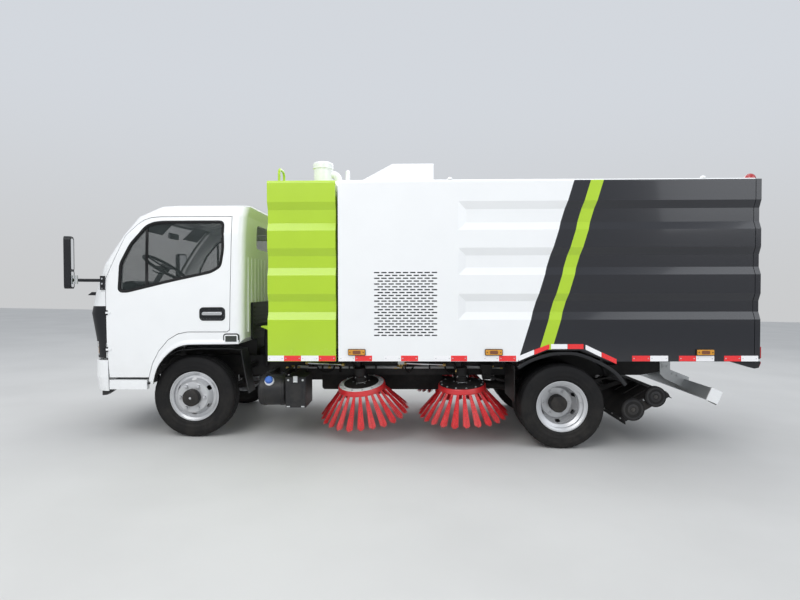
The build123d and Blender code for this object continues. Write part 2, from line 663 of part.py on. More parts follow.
screen_face = outline(screen_line, 40)
screen_hole = cross_plate(screen_face, -1300, -250)
cab -= screen_hole
rear_window = outline([(-521, 1735), (521, 1735), (521, 1962), (-521, 1962)], 45)
rear_hole = cross_plate(rear_window, 400, 700)
cab -= rear_hole
tilt_ear = block(tilt_x - 30, tilt_x + 30, rail_outer - 18, rail_outer, tilt_z, 785)
tilt_ear += rod_y(tilt_x, tilt_z, rail_outer - 18, rail_outer, 30)
tilt_ear -= rod_y(tilt_x, tilt_z, 300, 500, tilt_pin_radius + seat_gap)
cab += both_sides(tilt_ear)
cab += [block(cab_rear - 10, cab_rear + 12, y - 22, y + 22, 960, 1640) for y in range(-770, 771, 110)]
knuckle_radius = door_pin_radius + 4
for z0 in door_hinge_rows:
    pocket = rod_z(door_hinge_x, door_hinge_y, z0 - 1, z0 + 43, knuckle_radius + 2.5)
    pocket += block(door_hinge_x - 34, door_hinge_x + 1, door_hinge_y - 9.5, door_hinge_y + 6,
                    z0 - 1, z0 + 43)
    for side in both_sides(pocket):
        cab -= side
swing_relief = rod_z(door_hinge_x, door_hinge_y, 540, panel_bottom, door_wall + 16)
for side in both_sides(swing_relief):
    cab -= side
keep("cab_shell", cab)
front_panel -= [block(-1300, -860, -520, 520, z, z + 22) for z in range(776, 960, 40)]

glass_skin = glass_outside - glass_inside
windscreen = glass_skin & cross_plate(offset(screen_face, -seat_gap), -1300, -250)
rear_glass = glass_skin & cross_plate(offset(rear_window, -seat_gap), 400, 700)
keep("cab_glass", windscreen, rear_glass)

door_skin = cab_outside - door_inside
door_panel = side_plate(offset(door_face, -door_gap), 700, wide)
door = door_skin & door_panel
door -= window_hole
for z0 in door_hinge_rows:
    notch = rod_z(door_hinge_x, door_hinge_y, z0 - 1, z0 + 43, knuckle_radius + 1.5)
    leaf = block(door_hinge_x, door_hinge_x + 37, door_hinge_y - 17, door_hinge_y + 5, z0 + 12.5, z0 + 29.5)
    leaf += rod_z(door_hinge_x, door_hinge_y, z0 + 12.5, z0 + 29.5, knuckle_radius)
    leaf -= rod_z(door_hinge_x, door_hinge_y, z0, z0 + 42, door_pin_radius + seat_gap)
    door = door - notch + leaf
    ears = rod_z(door_hinge_x, door_hinge_y, z0, z0 + 42, door_pin_radius)
    for z in (z0, z0 + 30):
        ears += rod_z(door_hinge_x, door_hinge_y, z, z + 12, knuckle_radius)
        ears += block(door_hinge_x - 33, door_hinge_x, door_hinge_y - 9, door_hinge_y + 5, z, z + 12)
    for cut, ear in zip(both_sides(notch), both_sides(ears)):
        front_panel = front_panel - cut + ear
door_glass = glass_skin & side_plate(offset(window_face, -seat_gap), 700, wide)
for name, flip in (("right", False), ("left", True)):
    keep(f"door_{name}", mirror(door, about=Plane.XZ) if flip else door)
    keep(f"door_glass_{name}", mirror(door_glass, about=Plane.XZ) if flip else door_glass)

# Seats and dashboard
seat = side_plate(outline([(-150, tunnel_floor + seat_gap), (330, tunnel_floor + seat_gap), (420, 1560),
                           (300, 1590), (190, 1130), (-150, 1150)], 30), -250, 250)
seats = []
for y in seat_rows:
    out = 1 if y > 0 else -1
    feet = sorted((out * (tunnel_half + seat_gap), y + out * 230))
    base = block(-120, 300, *feet, bench_floor + seat_gap, tunnel_floor + 10)
    seats.append(Pos(0, y, 0) * seat + base)
keep("seats", *seats)
dash = cab_loft(cab_wall + 1) & side_plate(outline([(-1100, 1080), (-600, 1080), (-560, 1200),
                                                           (-600, 1290), (-1100, 1316)], 20), -850, 850)
lean = math.radians(steer_column_tilt)
down_x, down_z = -math.sin(lean), -math.cos(lean)
hub_top = 17 + seat_gap
wheel_x, wheel_y, wheel_z = steer_wheel_at
column = rod_between((wheel_x + 330 * down_x, wheel_y, wheel_z + 330 * down_z),
                     (wheel_x + hub_top * down_x, wheel_y, wheel_z + hub_top * down_z), 24)
keep("dashboard", dash + column)

# Steering wheel, on the column's axis
wheel_ring = Torus(steer_wheel_radius, 14)
spokes = Cylinder(48, 34) + Box(34, 2 * steer_wheel_radius - 10, 10)
spokes += Pos(-steer_wheel_radius / 2, 0, 0) * Box(steer_wheel_radius - 10, 34, 10)
steering_wheel = Pos(*steer_wheel_at) * Rot(0, steer_column_tilt, 0) * (wheel_ring + spokes)
keep("steering_wheel", steering_wheel)

# Bumper and side steps, carried by the cab
bumper_rows = (  # height, front at the corner, bulge of the middle, half width, rear
    (437, -866, 126, 922, 0),
    (560, -884, 128, 936, 0),
    (bumper_top, -882, 128, 937, 0),
)


def bumper_loft(inset):
    return loft([plan_section(bumper_rows, row[0], inset) for row in bumper_rows], ruled=True)


bumper = (bumper_loft(0) - bumper_loft(bumper_thick)) & block(-1300, bumper_end, -wide, wide,
                                                              437, bumper_top)
bumper -= [block(-1300, -870, -430, 430, z, z + 20) for z in (482, 518, 554)]
bumper -= both_sides(rod_x(660, 560, -1300, -850, 44))
bumper_stay = block(-975, -915, 470, 560, 600, panel_bottom - seat_gap)
bumper_stay += block(-988, -915, 470, 560, 600, 660)
keep("bumper", join([bumper] + both_sides(bumper_stay)))
step_plan = outline([(-723, 940), (-385, 940), (-385, 892), (-440, 880), (-470, 720), (-723, 720)])
step = extrude(Pos(0, 0, 454) * step_plan, 84)
step_arm = block(-640, -580, 722, 800, 500, footwell_floor - floor_thick - seat_gap)
keep("side_steps", *both_sides(step + step_arm))

# Head lamps, flush in the front panel's lower corners
lamp_pocket = block(-1300, -828, 610, wide, 756, 884)
lamp = (cab_outside - cab_inside) & block(-1300, -828 - seat_gap, 610 + seat_gap, wide, 756 + seat_gap,
                                          884 - seat_gap)
for pocket in both_sides(lamp_pocket):
    front_panel -= pocket
keep("front_panel", front_panel)
keep("headlamps", *both_sides(lamp))

# Door mirrors on tubular arms
mirror_foot = block(-792, -754, 900, 952, 1345, 1470) - cab_outside
mirror_head = fillet(Box(50, 142, 445).edges().filter_by(Axis.X), 34)
mirror_head = Pos(-940, 1160, 1578) * Rot(0, 0, -20) * mirror_head
mirror_arm = rod_between((-772, 930, 1430), (-900, 1000, 1430), 14)
mirror_arm += rod_between((-900, 1000, 1430), (-925, 1110, 1430), 14)
mirror_arm -= cab_outside
keep("mirrors", *both_sides(mirror_foot + mirror_arm + mirror_head))


# Mudguards
def strip(points, thick):
    """A bent sheet seen from the side: the line of points thickened to one side."""
    inner = []
    for index, (x, z) in enumerate(points):
        before = points[max(index - 1, 0)]
        after = points[min(index + 1, len(points) - 1)]
        run = math.hypot(after[0] - before[0], after[1] - before[1])
        inner.append((x + (after[1] - before[1]) / run * thick, z - (after[0] - before[0]) / run * thick))
    return outline(list(points) + inner[::-1])


front_guard_line = [(-335, 650), (-255, 742), (-130, 798), (60, 815), (330, 815), (446, 800), (514, 407)]
front_guard = side_plate(strip(front_guard_line, 8), 660, 868)
front_guard += block(440, 470, rail_outer + seat_gap, 700, 600, 640)
rear_guard_curve = Spline((2902, 672), (3020, 740), (3180, 790), (3300, 802), (3430, 792), (3600, 728),
                          (3750, 636), (3850, 520))
rear_guard_points = [rear_guard_curve @ (index / 28) for index in range(29)]
rear_guard_line = [(point.X, point.Y) for point in rear_guard_points]
rear_arch = side_plate(strip(rear_guard_line, 8), 530, 1010)
for x, z in ((2960, 712), (3630, 720)):
    rear_arch += rod_y(x, z, rail_outer + seat_gap, 1000, 12)
keep("mudguards", *both_sides(front_guard), *both_sides(rear_arch))

# Rear under-run guard: two cranked arms on the rails and a cross beam
guard_arm = side_plate(outline([(4395, 690), (4495, 690), (4496, 560), (4680, 486), (4655, 372),
                                (4447, 471), (4397, 520)]), rail_outer, rail_outer + 10)
guard_beam = Pos(4655, 0, 398) * Rot(0, 24, 0) * Box(100, 2 * guard_half, 112)
keep("rear_guard", join([guard_beam] + both_sides(guard_arm)))
guard_end = Pos(4655, guard_half + 5, 398) * Rot(0, 24, 0) * Box(106, 10, 118)
keep("guard_ends", *both_sides(guard_end))

# Tail lamp housings under the hopper's rear corners
tail_wedge = side_plate(outline([(4728, body_floor), (4933, 655), (4975, 662), (4990, 700),
                                 (4990, body_floor)]), 910, 1020)
keep("tail_lamps", *both_sides(tail_wedge))


# Side brushes, drawn about their own upright axis with the disc's top at z = 0
def turned(points):
    """A closed outline of (radius, z) points turned about the z axis."""
    face = Plane.XZ * make_face(Polyline(*points, close=True).edges())
    return revolve(face, Axis.Z, 360)


splay = math.asin((brush_tip_radius - brush_disc_radius + 14) / tuft_length)
tuft_plane = Plane(origin=(brush_disc_radius - 14, 0, 12 - brush_rim_height), x_dir=(0, 1, 0),
                   z_dir=(-math.cos(splay), 0, -math.sin(splay)))
tuft_face = make_face(Polyline((-8, 0), (8, 0), (23, tuft_length), (-23, tuft_length),
                               close=True).edges())
tuft = extrude(tuft_plane * tuft_face, 7, both=True)
brush = Pos(0, 0, -10) * Cylinder(brush_disc_radius - 6, 20)
brush += turned([(brush_disc_radius - 20, 0), (brush_disc_radius - 4, 0),
                 (brush_disc_radius + 6, -brush_rim_height),
                 (brush_disc_radius - 30, -brush_rim_height)])
brush += [Rot(0, 0, index * 360 / tuft_count) * tuft for index in range(tuft_count)]
brush += Pos(0, 0, 25) * Cylinder(20, 60)
motor = Pos(0, 0, 82) * Cylinder(52, 136) - Pos(0, 0, 40) * Cylinder(21, 60)
for x, y, front_low, outer_low in brush_spots:
    row = "front" if x < 2000 else "rear"
    pivot_x = x - arm_reach
    arm_line = Vector(x - pivot_x, y - arm_pivot_y, 0)
    arm_angle = math.degrees(math.atan2(arm_line.Y, arm_line.X))
    beam = Pos(pivot_x, arm_pivot_y, arm_top - 52) * Rot(0, 0, arm_angle) * (
        Pos(arm_line.length / 2, 0, 0) * Box(arm_line.length, 60, 56))
    boss = rod_z(pivot_x, arm_pivot_y, arm_top - 86, arm_top - 18, 36)
    hang = Pos(x, y, brush_disc_z) * Rot(-outer_low, -front_low, 0)
    arm = beam + boss - rod_z(pivot_x, arm_pivot_y, 0, 900, 14 + seat_gap) + hang * motor
    arm -= hang * (Pos(0, 0, 40) * Cylinder(21, 60))
    keep(f"brush_arm_{row}_right", arm)
    keep(f"brush_arm_{row}_left", mirror(arm, about=Plane.XZ))
    keep(f"brush_{row}_right", hang * brush)
    keep(f"brush_{row}_left", mirror(hang * brush, about=Plane.XZ))
    bracket = rod_z(pivot_x, arm_pivot_y, arm_top - 100, arm_top, 14)
    for z in (arm_top - 102, arm_top - 10):
        bracket += block(pivot_x - 40, pivot_x + 40, rail_outer, arm_pivot_y + 30, z, z + 8)
    bracket += block(pivot_x - 40, pivot_x + 40, rail_outer, rail_outer + 8, arm_top - 102, arm_top - 5)
    brackets += both_sides(bracket)

# Suction nozzle behind the rear axle, raised and tilted up at the back
nozzle_pin_x, nozzle_pin_z = nozzle_pivot
drop_plate = side_plate(outline([(nozzle_pin_x - 45, rail_bottom), (nozzle_pin_x + 45, rail_bottom),
                                 (nozzle_pin_x + 24, nozzle_pin_z - 22),
                                 (nozzle_pin_x - 24, nozzle_pin_z - 22)]), 362, 374)
drop_pin = rod_y(nozzle_pin_x, nozzle_pin_z, 310, 374, 14)
keep("frame_brackets", *brackets, *both_sides(drop_plate + drop_pin))
hinge_x2, hinge_z2 = nozzle_hinge
link_tilt = math.degrees(math.atan2(hinge_z2 - nozzle_pin_z, hinge_x2 - nozzle_pin_x))
link_length = math.hypot(hinge_z2 - nozzle_pin_z, hinge_x2 - nozzle_pin_x)
link = Pos(link_length / 2, 0, 0) * Box(link_length, 24, 44)
link += rod_y(0, 0, -12, 12, 30) + rod_y(link_length, 0, -12, 12, 30)
link -= rod_y(0, 0, -20, 20, 14 + seat_gap) + rod_y(link_length, 0, -20, 20, 12 + seat_gap)
link = Pos(nozzle_pin_x, 335, nozzle_pin_z) * Rot(0, -link_tilt, 0) * link
link_tie = rod_y((nozzle_pin_x + hinge_x2) / 2, (nozzle_pin_z + hinge_z2) / 2, -330, 330, 20)
keep("nozzle_arms", join([link_tie] + both_sides(link)))

hood_line = [(-300, -150), (-300, -96), (-120, -40), (70, -40), (150, -96), (150, -150)]
nozzle_hood = side_plate(outline(hood_line), -nozzle_half, nozzle_half)
nozzle_hood -= side_plate(outline([(-288, -151), (-288, -102), (-116, -52), (66, -52), (138, -102),
                                   (138, -151)]), -nozzle_half + 12, nozzle_half - 12)
ears = [block(-26, 26, y, y + 12, -45, 0) + rod_y(0, 0, y, y + 12, 26) for y in (306, 352)]
ears = join(ears) + rod_y(0, 0, 306, 364, 12)
axles = [rod_y(x, z, nozzle_half - 12, nozzle_half + 50, 10) for x, z, radius in caster_spots.values()]
axle_tabs = [block(x - 20, x + 20, nozzle_half - 12, nozzle_half, -110, -50)
             for x, z, radius in caster_spots.values()]
nozzle = join([nozzle_hood] + both_sides(join([ears] + axles + axle_tabs)))


def at_nozzle(shape):
    return Pos(hinge_x2, 0, hinge_z2) * Rot(0, -nozzle_tilt, 0) * shape


keep("nozzle", at_nozzle(nozzle))
for name, (x, z, radius) in caster_spots.items():
    caster = rod_y(x, z, nozzle_half + 6, nozzle_half + 46, radius)
    caster -= rod_y(x, z, nozzle_half, nozzle_half + 50, 10 + seat_gap)
    keep(f"nozzle_wheels_{name}", *[at_nozzle(wheel) for wheel in both_sides(caster)])

# Turn the truck onto its wheels and centre it lengthwise
lift = tyre_radius * (1 - math.cos(math.radians(rake)))
onto_wheels = Pos(0, 0, lift) * Rot(0, -rake, 0)
placed = {name: [onto_wheels * solid for solid in solids] for name, solids in nodes.items()}
ends = [solid.bounding_box() for solids in placed.values() for solid in solids]
middle_x = (min(box.min.X for box in ends) + max(box.max.X for box in ends)) / 2
for name, solids in placed.items():
    export_step(Compound([Pos(-middle_x, 0, 0) * solid for solid in solids]), f"parts/{name}.step")
print(len(nodes), "nodes, middle at x", round(middle_x, 2))
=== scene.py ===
import math
import random

import bmesh
import bpy
from mathutils import Matrix, Vector


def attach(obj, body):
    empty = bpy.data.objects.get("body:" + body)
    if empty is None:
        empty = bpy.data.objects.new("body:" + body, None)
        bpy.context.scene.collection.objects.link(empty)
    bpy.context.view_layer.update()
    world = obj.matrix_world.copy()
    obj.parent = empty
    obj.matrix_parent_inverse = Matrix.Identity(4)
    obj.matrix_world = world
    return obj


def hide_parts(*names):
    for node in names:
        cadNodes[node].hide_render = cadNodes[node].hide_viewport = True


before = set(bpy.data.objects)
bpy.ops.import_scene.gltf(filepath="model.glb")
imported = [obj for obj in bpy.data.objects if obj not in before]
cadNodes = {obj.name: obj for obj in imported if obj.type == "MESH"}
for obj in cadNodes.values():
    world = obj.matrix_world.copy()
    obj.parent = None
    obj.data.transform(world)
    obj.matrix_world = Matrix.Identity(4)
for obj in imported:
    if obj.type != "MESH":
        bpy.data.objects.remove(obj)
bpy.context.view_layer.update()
print("frame loaded,", len(cadNodes), "CAD nodes")

# The truck is laid out in millimetres with its body level: x runs rearward from the front axle,
# y to the truck's right and z up from the ground. toFrame turns that into the frame's metres.
truck = {"wheelbase": 3308, "rearAxleDrop": 63.5, "tyreRadius": 372, "middleX": 1969.52,
         "frontWheelY": 751.5, "rearWheelY": 747, "twinSpacing": 240, "bodyHalf": 1030}
lean = math.atan2(truck["rearAxleDrop"], truck["wheelbase"])
lift = truck["tyreRadius"] * (1 - math.cos(lean))
toFrame = (Matrix.Translation((-truck["middleX"] / 1000, 0, lift / 1000))
           @ Matrix.Rotation(-lean, 4, "Y") @ Matrix.Scale(0.001, 4))
sides = {"left": -1, "right": 1}


# Node helpers and shared effects

def socketId(tree, label):
    for item in tree.interface.items_tree:
        if item.item_type == "SOCKET" and item.in_out == "INPUT" and item.name == label:
            return item.identifier
    raise KeyError(label)


class Wiring:
    def __init__(self, tree):
        self.tree = tree

    def feed(self, node, inputs):
        # A socket is linked to the input, a plain value is set on it
        for label, value in inputs.items():
            if isinstance(value, bpy.types.NodeSocket):
                self.tree.links.new(value, node.inputs[label])
            else:
                node.inputs[label].default_value = value

    def add(self, kind, inputs=None, **settings):
        node = self.tree.nodes.new(kind)
        for label, value in settings.items():
            setattr(node, label, value)
        self.feed(node, inputs or {})
        return node

    def math(self, operation, first, second=0.0, clamp=False):
        return self.add("ShaderNodeMath", operation=operation, use_clamp=clamp,
                        inputs={0: first, 1: second}).outputs[0]

    def mix(self, factor, first, second):
        return self.add("ShaderNodeMix", data_type="RGBA",
                        inputs={0: factor, 6: first, 7: second}).outputs[2]

    def blend(self, factor, first, second):
        return self.add("ShaderNodeMix", data_type="FLOAT",
                        inputs={0: factor, 2: first, 3: second}).outputs[0]

    def ramp(self, value, low, high):
        return self.add("ShaderNodeMapRange", interpolation_type="SMOOTHSTEP",
                        inputs={"Value": value, "From Min": low, "From Max": high}).outputs[0]

    def parts(self, vector):
        return self.add("ShaderNodeSeparateXYZ", inputs={0: vector}).outputs

    def noise(self, place, scale, **inputs):
        return self.add("ShaderNodeTexNoise", inputs={"Vector": place, "Scale": scale, **inputs}).outputs[0]

    def waves(self, place, direction, scale, **inputs):
        return self.add("ShaderNodeTexWave", wave_type="BANDS", bands_direction=direction,
                        inputs={"Vector": place, "Scale": scale, **inputs}).outputs["Fac"]

    def bump(self, height, strength, depth):
        return self.add("ShaderNodeBump", inputs={
            "Strength": strength, "Distance": depth, "Height": height}).outputs[0]


def rgba(color):
    return (*color[:3], 1.0)


def newGroup(name, treeKind, inputs, output):
    # A node group from rows of label, kind and first value, with one output
    tree = bpy.data.node_groups.new(name, treeKind)
    for label, kind, value in inputs:
        socket = tree.interface.new_socket(name=label, in_out="INPUT", socket_type="NodeSocket" + kind)
        if value is not None:
            socket.default_value = value
    tree.interface.new_socket(name=output[0], in_out="OUTPUT", socket_type="NodeSocket" + output[1])
    wiring = Wiring(tree)
    return tree, wiring, wiring.add("NodeGroupInput").outputs, wiring.add("NodeGroupOutput").inputs[0]


def makeDustGroup():
    # Road dust: thick near the ground, broken up by noise, thinner higher up
    tree, wiring, given, end = newGroup("roadDust", "ShaderNodeTree", (
        ("Vector", "Vector", None), ("Full Below", "Float", 0.2), ("None Above", "Float", 0.9),
        ("Amount", "Float", 0.4), ("Scale", "Float", 9.0)), ("Mask", "Float"))
    rise = wiring.add("ShaderNodeMapRange", inputs={
        "Value": wiring.parts(given["Vector"])["Z"], "From Min": given["None Above"],
        "From Max": given["Full Below"]}).outputs[0]
    cloud = wiring.noise(given["Vector"], given["Scale"], Detail=7.0, Roughness=0.62)
    share = wiring.math("ADD", wiring.math("MULTIPLY", wiring.ramp(cloud, 0.34, 0.68), 0.75), 0.25)
    mask = wiring.math("MULTIPLY", wiring.math("MULTIPLY", rise, share), given["Amount"], True)
    tree.links.new(mask, end)
    return tree


def makeMottleGroup():
    # Slow change of tone over a surface
    tree, wiring, given, end = newGroup("toneMottle", "ShaderNodeTree", (
        ("Vector", "Vector", None), ("Color", "Color", (0.5, 0.5, 0.5, 1)), ("Amount", "Float", 0.1),
        ("Scale", "Float", 3.0)), ("Color Out", "Color"))
    slow = wiring.noise(given["Vector"], given["Scale"], Detail=4.0)
    swing = wiring.math("MULTIPLY", wiring.math("SUBTRACT", slow, 0.5), given["Amount"])
    shade = wiring.add("ShaderNodeHueSaturation", inputs={
        "Color": given["Color"], "Value": wiring.math("ADD", swing, 1.0)}).outputs[0]
    tree.links.new(shade, end)
    return tree


def makeGrainGroup():
    # Fine relief: orange peel on paint, pores on castings, grain on plastic
    tree, wiring, given, end = newGroup("fineGrain", "ShaderNodeTree", (
        ("Vector", "Vector", None), ("Scale", "Float", 250.0), ("Strength", "Float", 0.1),
        ("Depth", "Float", 0.0005)), ("Normal", "Vector"))
    grain = wiring.noise(given["Vector"], given["Scale"], Detail=3.0)
    tree.links.new(wiring.bump(grain, given["Strength"], given["Depth"]), end)
    return tree


dustGroup = makeDustGroup()
mottleGroup = makeMottleGroup()
grainGroup = makeGrainGroup()

# Finishes

# dust: full below, none above, amount; grain: scale, strength, depth.
# A finish without metal or coat has none, and one without shine has the usual 0.5.
dustColor = (0.36, 0.32, 0.26)
finishes = {
    "whitePaint": dict(color=(0.90, 0.915, 0.925), rough=0.24, coat=0.4, mottle=0.03,
                       dust=(0.30, 0.85, 0.12), grain=(120, 0.10, 0.0004)),
    "limePaint": dict(color=(0.44, 0.66, 0.025), rough=0.26, coat=0.35, mottle=0.05,
                      dust=(0.40, 1.0, 0.10), grain=(120, 0.10, 0.0004)),
    "darkPaint": dict(color=(0.007, 0.008, 0.013), rough=0.20, coat=0.45, mottle=0.1,
                      dust=(0.40, 1.0, 0.10), grain=(110, 0.09, 0.0004)),
    "chassisBlack": dict(color=(0.008, 0.008, 0.010), rough=0.5, mottle=0.3,
                         dust=(0.1, 1.0, 0.12), grain=(180, 0.25, 0.0008), shine=0.3),
    "castIron": dict(color=(0.030, 0.030, 0.033), rough=0.58, metal=0.35, mottle=0.3,
                     dust=(0.1, 1.1, 0.18), grain=(260, 0.5, 0.001)),
    "zincSteel": dict(color=(0.60, 0.62, 0.63), rough=0.42, metal=0.7, mottle=0.3,
                      dust=(0.1, 0.9, 0.14), grain=(90, 0.2, 0.0005)),
    "wheelSilver": dict(color=(0.62, 0.63, 0.65), rough=0.34, metal=0.55, coat=0.15, mottle=0.1,
                        dust=(0.1, 0.8, 0.16), grain=(200, 0.15, 0.0004)),
    "chrome": dict(color=(0.82, 0.83, 0.85), rough=0.09, metal=1.0, mottle=0.03,
                   dust=(0.1, 1.0, 0.12), grain=(60, 0.03, 0.0002)),
    "brass": dict(color=(0.62, 0.44, 0.16), rough=0.32, metal=1.0, mottle=0.15,
                  dust=(0.1, 1.0, 0.3), grain=(150, 0.2, 0.0004)),
    "tyreRubber": dict(color=(0.008, 0.008, 0.009), rough=0.62, mottle=0.2,
                       dust=(0.0, 0.75, 0.06), grain=(420, 0.4, 0.0008), shine=0.22),
    "hoseRubber": dict(color=(0.008, 0.008, 0.009), rough=0.5, mottle=0.2,
                       dust=(0.1, 1.0, 0.08), grain=(500, 0.3, 0.0006), shine=0.25),
    "blackPlastic": dict(color=(0.012, 0.013, 0.016), rough=0.42, mottle=0.12,
                         dust=(0.2, 1.0, 0.08), grain=(600, 0.35, 0.0006), shine=0.32),
    "greyPlastic": dict(color=(0.16, 0.165, 0.175), rough=0.55, mottle=0.08,
                        dust=(0.2, 1.2, 0.1), grain=(600, 0.35, 0.0006)),
    "redPlastic": dict(color=(0.70, 0.020, 0.028), rough=0.3, coat=0.3, mottle=0.1,
                       dust=(0.1, 0.7, 0.2), grain=(300, 0.15, 0.0004)),
    "bluePlastic": dict(color=(0.03, 0.14, 0.55), rough=0.35, mottle=0.08,
                        dust=(0.1, 1.0, 0.25), grain=(400, 0.2, 0.0004)),
    "blankPlate": dict(color=(0.62, 0.60, 0.34), rough=0.38, coat=0.2, mottle=0.04,
                       dust=(0.1, 1.2, 0.25), grain=(200, 0.1, 0.0004)),
}


def newMaterial(name):
    material = bpy.data.materials.new(name)
    material.use_nodes = True
    material.node_tree.nodes.clear()
    wiring = Wiring(material.node_tree)
    shader = wiring.add("ShaderNodeBsdfPrincipled")
    output = wiring.add("ShaderNodeOutputMaterial")
    material.node_tree.links.new(shader.outputs[0], output.inputs[0])
    place = wiring.add("ShaderNodeTexCoord").outputs["Object"]
    return material, wiring, shader, place


def dustMask(wiring, place, full, none, amount, scale=9.0):
    return wiring.add("ShaderNodeGroup", node_tree=dustGroup, inputs={
        "Vector": place, "Full Below": full, "None Above": none, "Amount": amount,
        "Scale": scale}).outputs[0]


def dressSurface(wiring, shader, place, finish, baseColor=None):
    # Colour with mottle and dust, roughness with dust, and a fine relief
    mottle = wiring.add("ShaderNodeGroup", node_tree=mottleGroup, inputs={
        "Vector": place, "Color": baseColor or rgba(finish["color"]), "Amount": finish["mottle"] * 2,
        "Scale": 3.2}).outputs[0]
    dust = dustMask(wiring, place, *finish["dust"])
    scale, strength, depth = finish["grain"]
    grain = wiring.add("ShaderNodeGroup", node_tree=grainGroup, inputs={
        "Vector": place, "Scale": float(scale), "Strength": strength, "Depth": depth}).outputs[0]
    wiring.feed(shader, {"Base Color": wiring.mix(dust, mottle, rgba(dustColor)),
                         "Roughness": wiring.blend(dust, finish["rough"], 0.85),
                         "Specular IOR Level": finish.get("shine", 0.5), "Normal": grain})
    if "metal" in finish:
        wiring.feed(shader, {"Metallic": wiring.blend(dust, finish["metal"], 0.0)})
    if "coat" in finish:
        wiring.feed(shader, {"Coat Weight": wiring.blend(dust, finish["coat"], 0.0),
                             "Coat Roughness": 0.06})


surfaces = {}
for finishName, finish in finishes.items():
    material, wiring, shader, place = newMaterial(finishName)
    dressSurface(wiring, shader, place, finish)
    surfaces[finishName] = material

# The hopper's sides: white in front of a slanted border, dark behind it, with a lime stripe between
livery = {"borderTop": (3385, 2280), "borderLow": (2923, 774), "stripeFrontTop": (3527, 2280),
          "stripeRearTop": (3636, 2280), "stripeFrontLow": (3098, 843), "stripeRearLow": (3205, 843),
          "roofEdge": 2282, "softEdge": 0.0012}


def framePoint(x, z):
    point = toFrame @ Vector((x, 0, z))
    return point.x, point.z


def behindLine(wiring, place, top, low):
    # 1 behind the line from low to top, 0 in front of it
    topX, topZ = framePoint(*livery[top])
    lowX, lowZ = framePoint(*livery[low])
    parts = wiring.parts(place)
    slope = (topX - lowX) / (topZ - lowZ)
    along = wiring.math("MULTIPLY", wiring.math("SUBTRACT", parts["Z"], lowZ), slope)
    beyond = wiring.math("SUBTRACT", wiring.math("SUBTRACT", parts["X"], lowX), along)
    return wiring.add("ShaderNodeMapRange", inputs={
        "Value": beyond, "From Min": -livery["softEdge"], "From Max": livery["softEdge"]}).outputs[0]


def makeLiveryPaint():
    material, wiring, shader, place = newMaterial("liveryPaint")
    white, dark, lime = (rgba(finishes[paint]["color"]) for paint in ("whitePaint", "darkPaint", "limePaint"))
    behindBorder = behindLine(wiring, place, "borderTop", "borderLow")
    behindStripe = behindLine(wiring, place, "stripeRearTop", "stripeRearLow")
    stripe = wiring.math("MULTIPLY", behindLine(wiring, place, "stripeFrontTop", "stripeFrontLow"),
                         wiring.math("SUBTRACT", 1.0, behindStripe))
    parts = wiring.parts(place)
    height = wiring.math("SUBTRACT", wiring.math("MULTIPLY", parts["Z"], math.cos(lean)),
                         wiring.math("MULTIPLY", parts["X"], math.sin(lean)))
    edgeX, edgeZ = framePoint(0, livery["roofEdge"])
    roof = wiring.math("GREATER_THAN", height, edgeZ * math.cos(lean) - edgeX * math.sin(lean))
    painted = wiring.mix(stripe, wiring.mix(behindBorder, white, dark), lime)
    finish = dict(finishes["whitePaint"], dust=(0.40, 0.95, 0.10), rough=0.22, coat=0.45)
    dressSurface(wiring, shader, place, finish, wiring.mix(roof, painted, white))
    return material


surfaces["liveryPaint"] = makeLiveryPaint()


def makeGlass(name, color, rough, alpha, dustAmount):
    # Thin tinted glass: clear to look through, with a film of dust
    material, wiring, shader, place = newMaterial(name)
    dust = dustMask(wiring, place, 0.6, 3.0, dustAmount, 5.0)
    film = wiring.math("MULTIPLY", dust, 0.5)
    wiring.feed(shader, {"Base Color": wiring.mix(dust, rgba(color), rgba(dustColor)), "IOR": 1.5,
                         "Roughness": wiring.math("ADD", film, rough),
                         "Alpha": wiring.math("ADD", film, alpha, True)})
    material.surface_render_method = "BLENDED"
    return material


surfaces["windowGlass"] = makeGlass("windowGlass", (0.030, 0.042, 0.042), 0.03, 0.30, 0.03)
surfaces["lensClear"] = makeGlass("lensClear", (0.75, 0.78, 0.80), 0.05, 0.32, 0.06)

lensLook = {"ribScale": 70, "ribDepth": 0.001, "ribStrength": 0.35, "shade": 0.55}
lensColors = {"amberLens": (1.0, 0.44, 0.02), "redLens": (0.62, 0.015, 0.02), "whiteLens": (0.78, 0.80, 0.82),
              "brownLens": (0.30, 0.085, 0.015), "smokeLens": (0.035, 0.045, 0.035)}


def makeLens(name, color):
    # Moulded lamp lens with fine ribs inside; its colour is painted darker in the rib troughs, a painted
    # shade of the ribs
    material, wiring, shader, place = newMaterial(name)
    ribs, cross = (wiring.waves(place, way, lensLook["ribScale"], Distortion=0.0) for way in "XZ")
    weave = wiring.math("MULTIPLY", ribs, cross)
    deep = [channel * lensLook["shade"] for channel in color]
    wiring.feed(shader, {"Base Color": wiring.mix(weave, rgba(deep), rgba(color)),
                         "Normal": wiring.bump(weave, lensLook["ribStrength"], lensLook["ribDepth"]),
                         "Roughness": 0.16, "Coat Weight": 0.8})
    return material


for lensName, color in lensColors.items():
    surfaces[lensName] = makeLens(lensName, color)


def makeTape(name, color):
    # Retroreflective tape: small cells under a glossy film
    material, wiring, shader, place = newMaterial(name)
    cells = wiring.add("ShaderNodeTexVoronoi", feature="DISTANCE_TO_EDGE", inputs={
        "Vector": place, "Scale": 260.0, "Randomness": 0.25}).outputs["Distance"]
    seams = wiring.ramp(cells, 0.02, 0.10)
    pale = [min(1.0, channel * 1.12 + 0.02) for channel in color]
    wiring.feed(shader, {"Base Color": wiring.mix(seams, rgba(pale), rgba(color)),
                         "Roughness": wiring.blend(seams, 0.42, 0.24), "Coat Weight": 0.4})
    return material


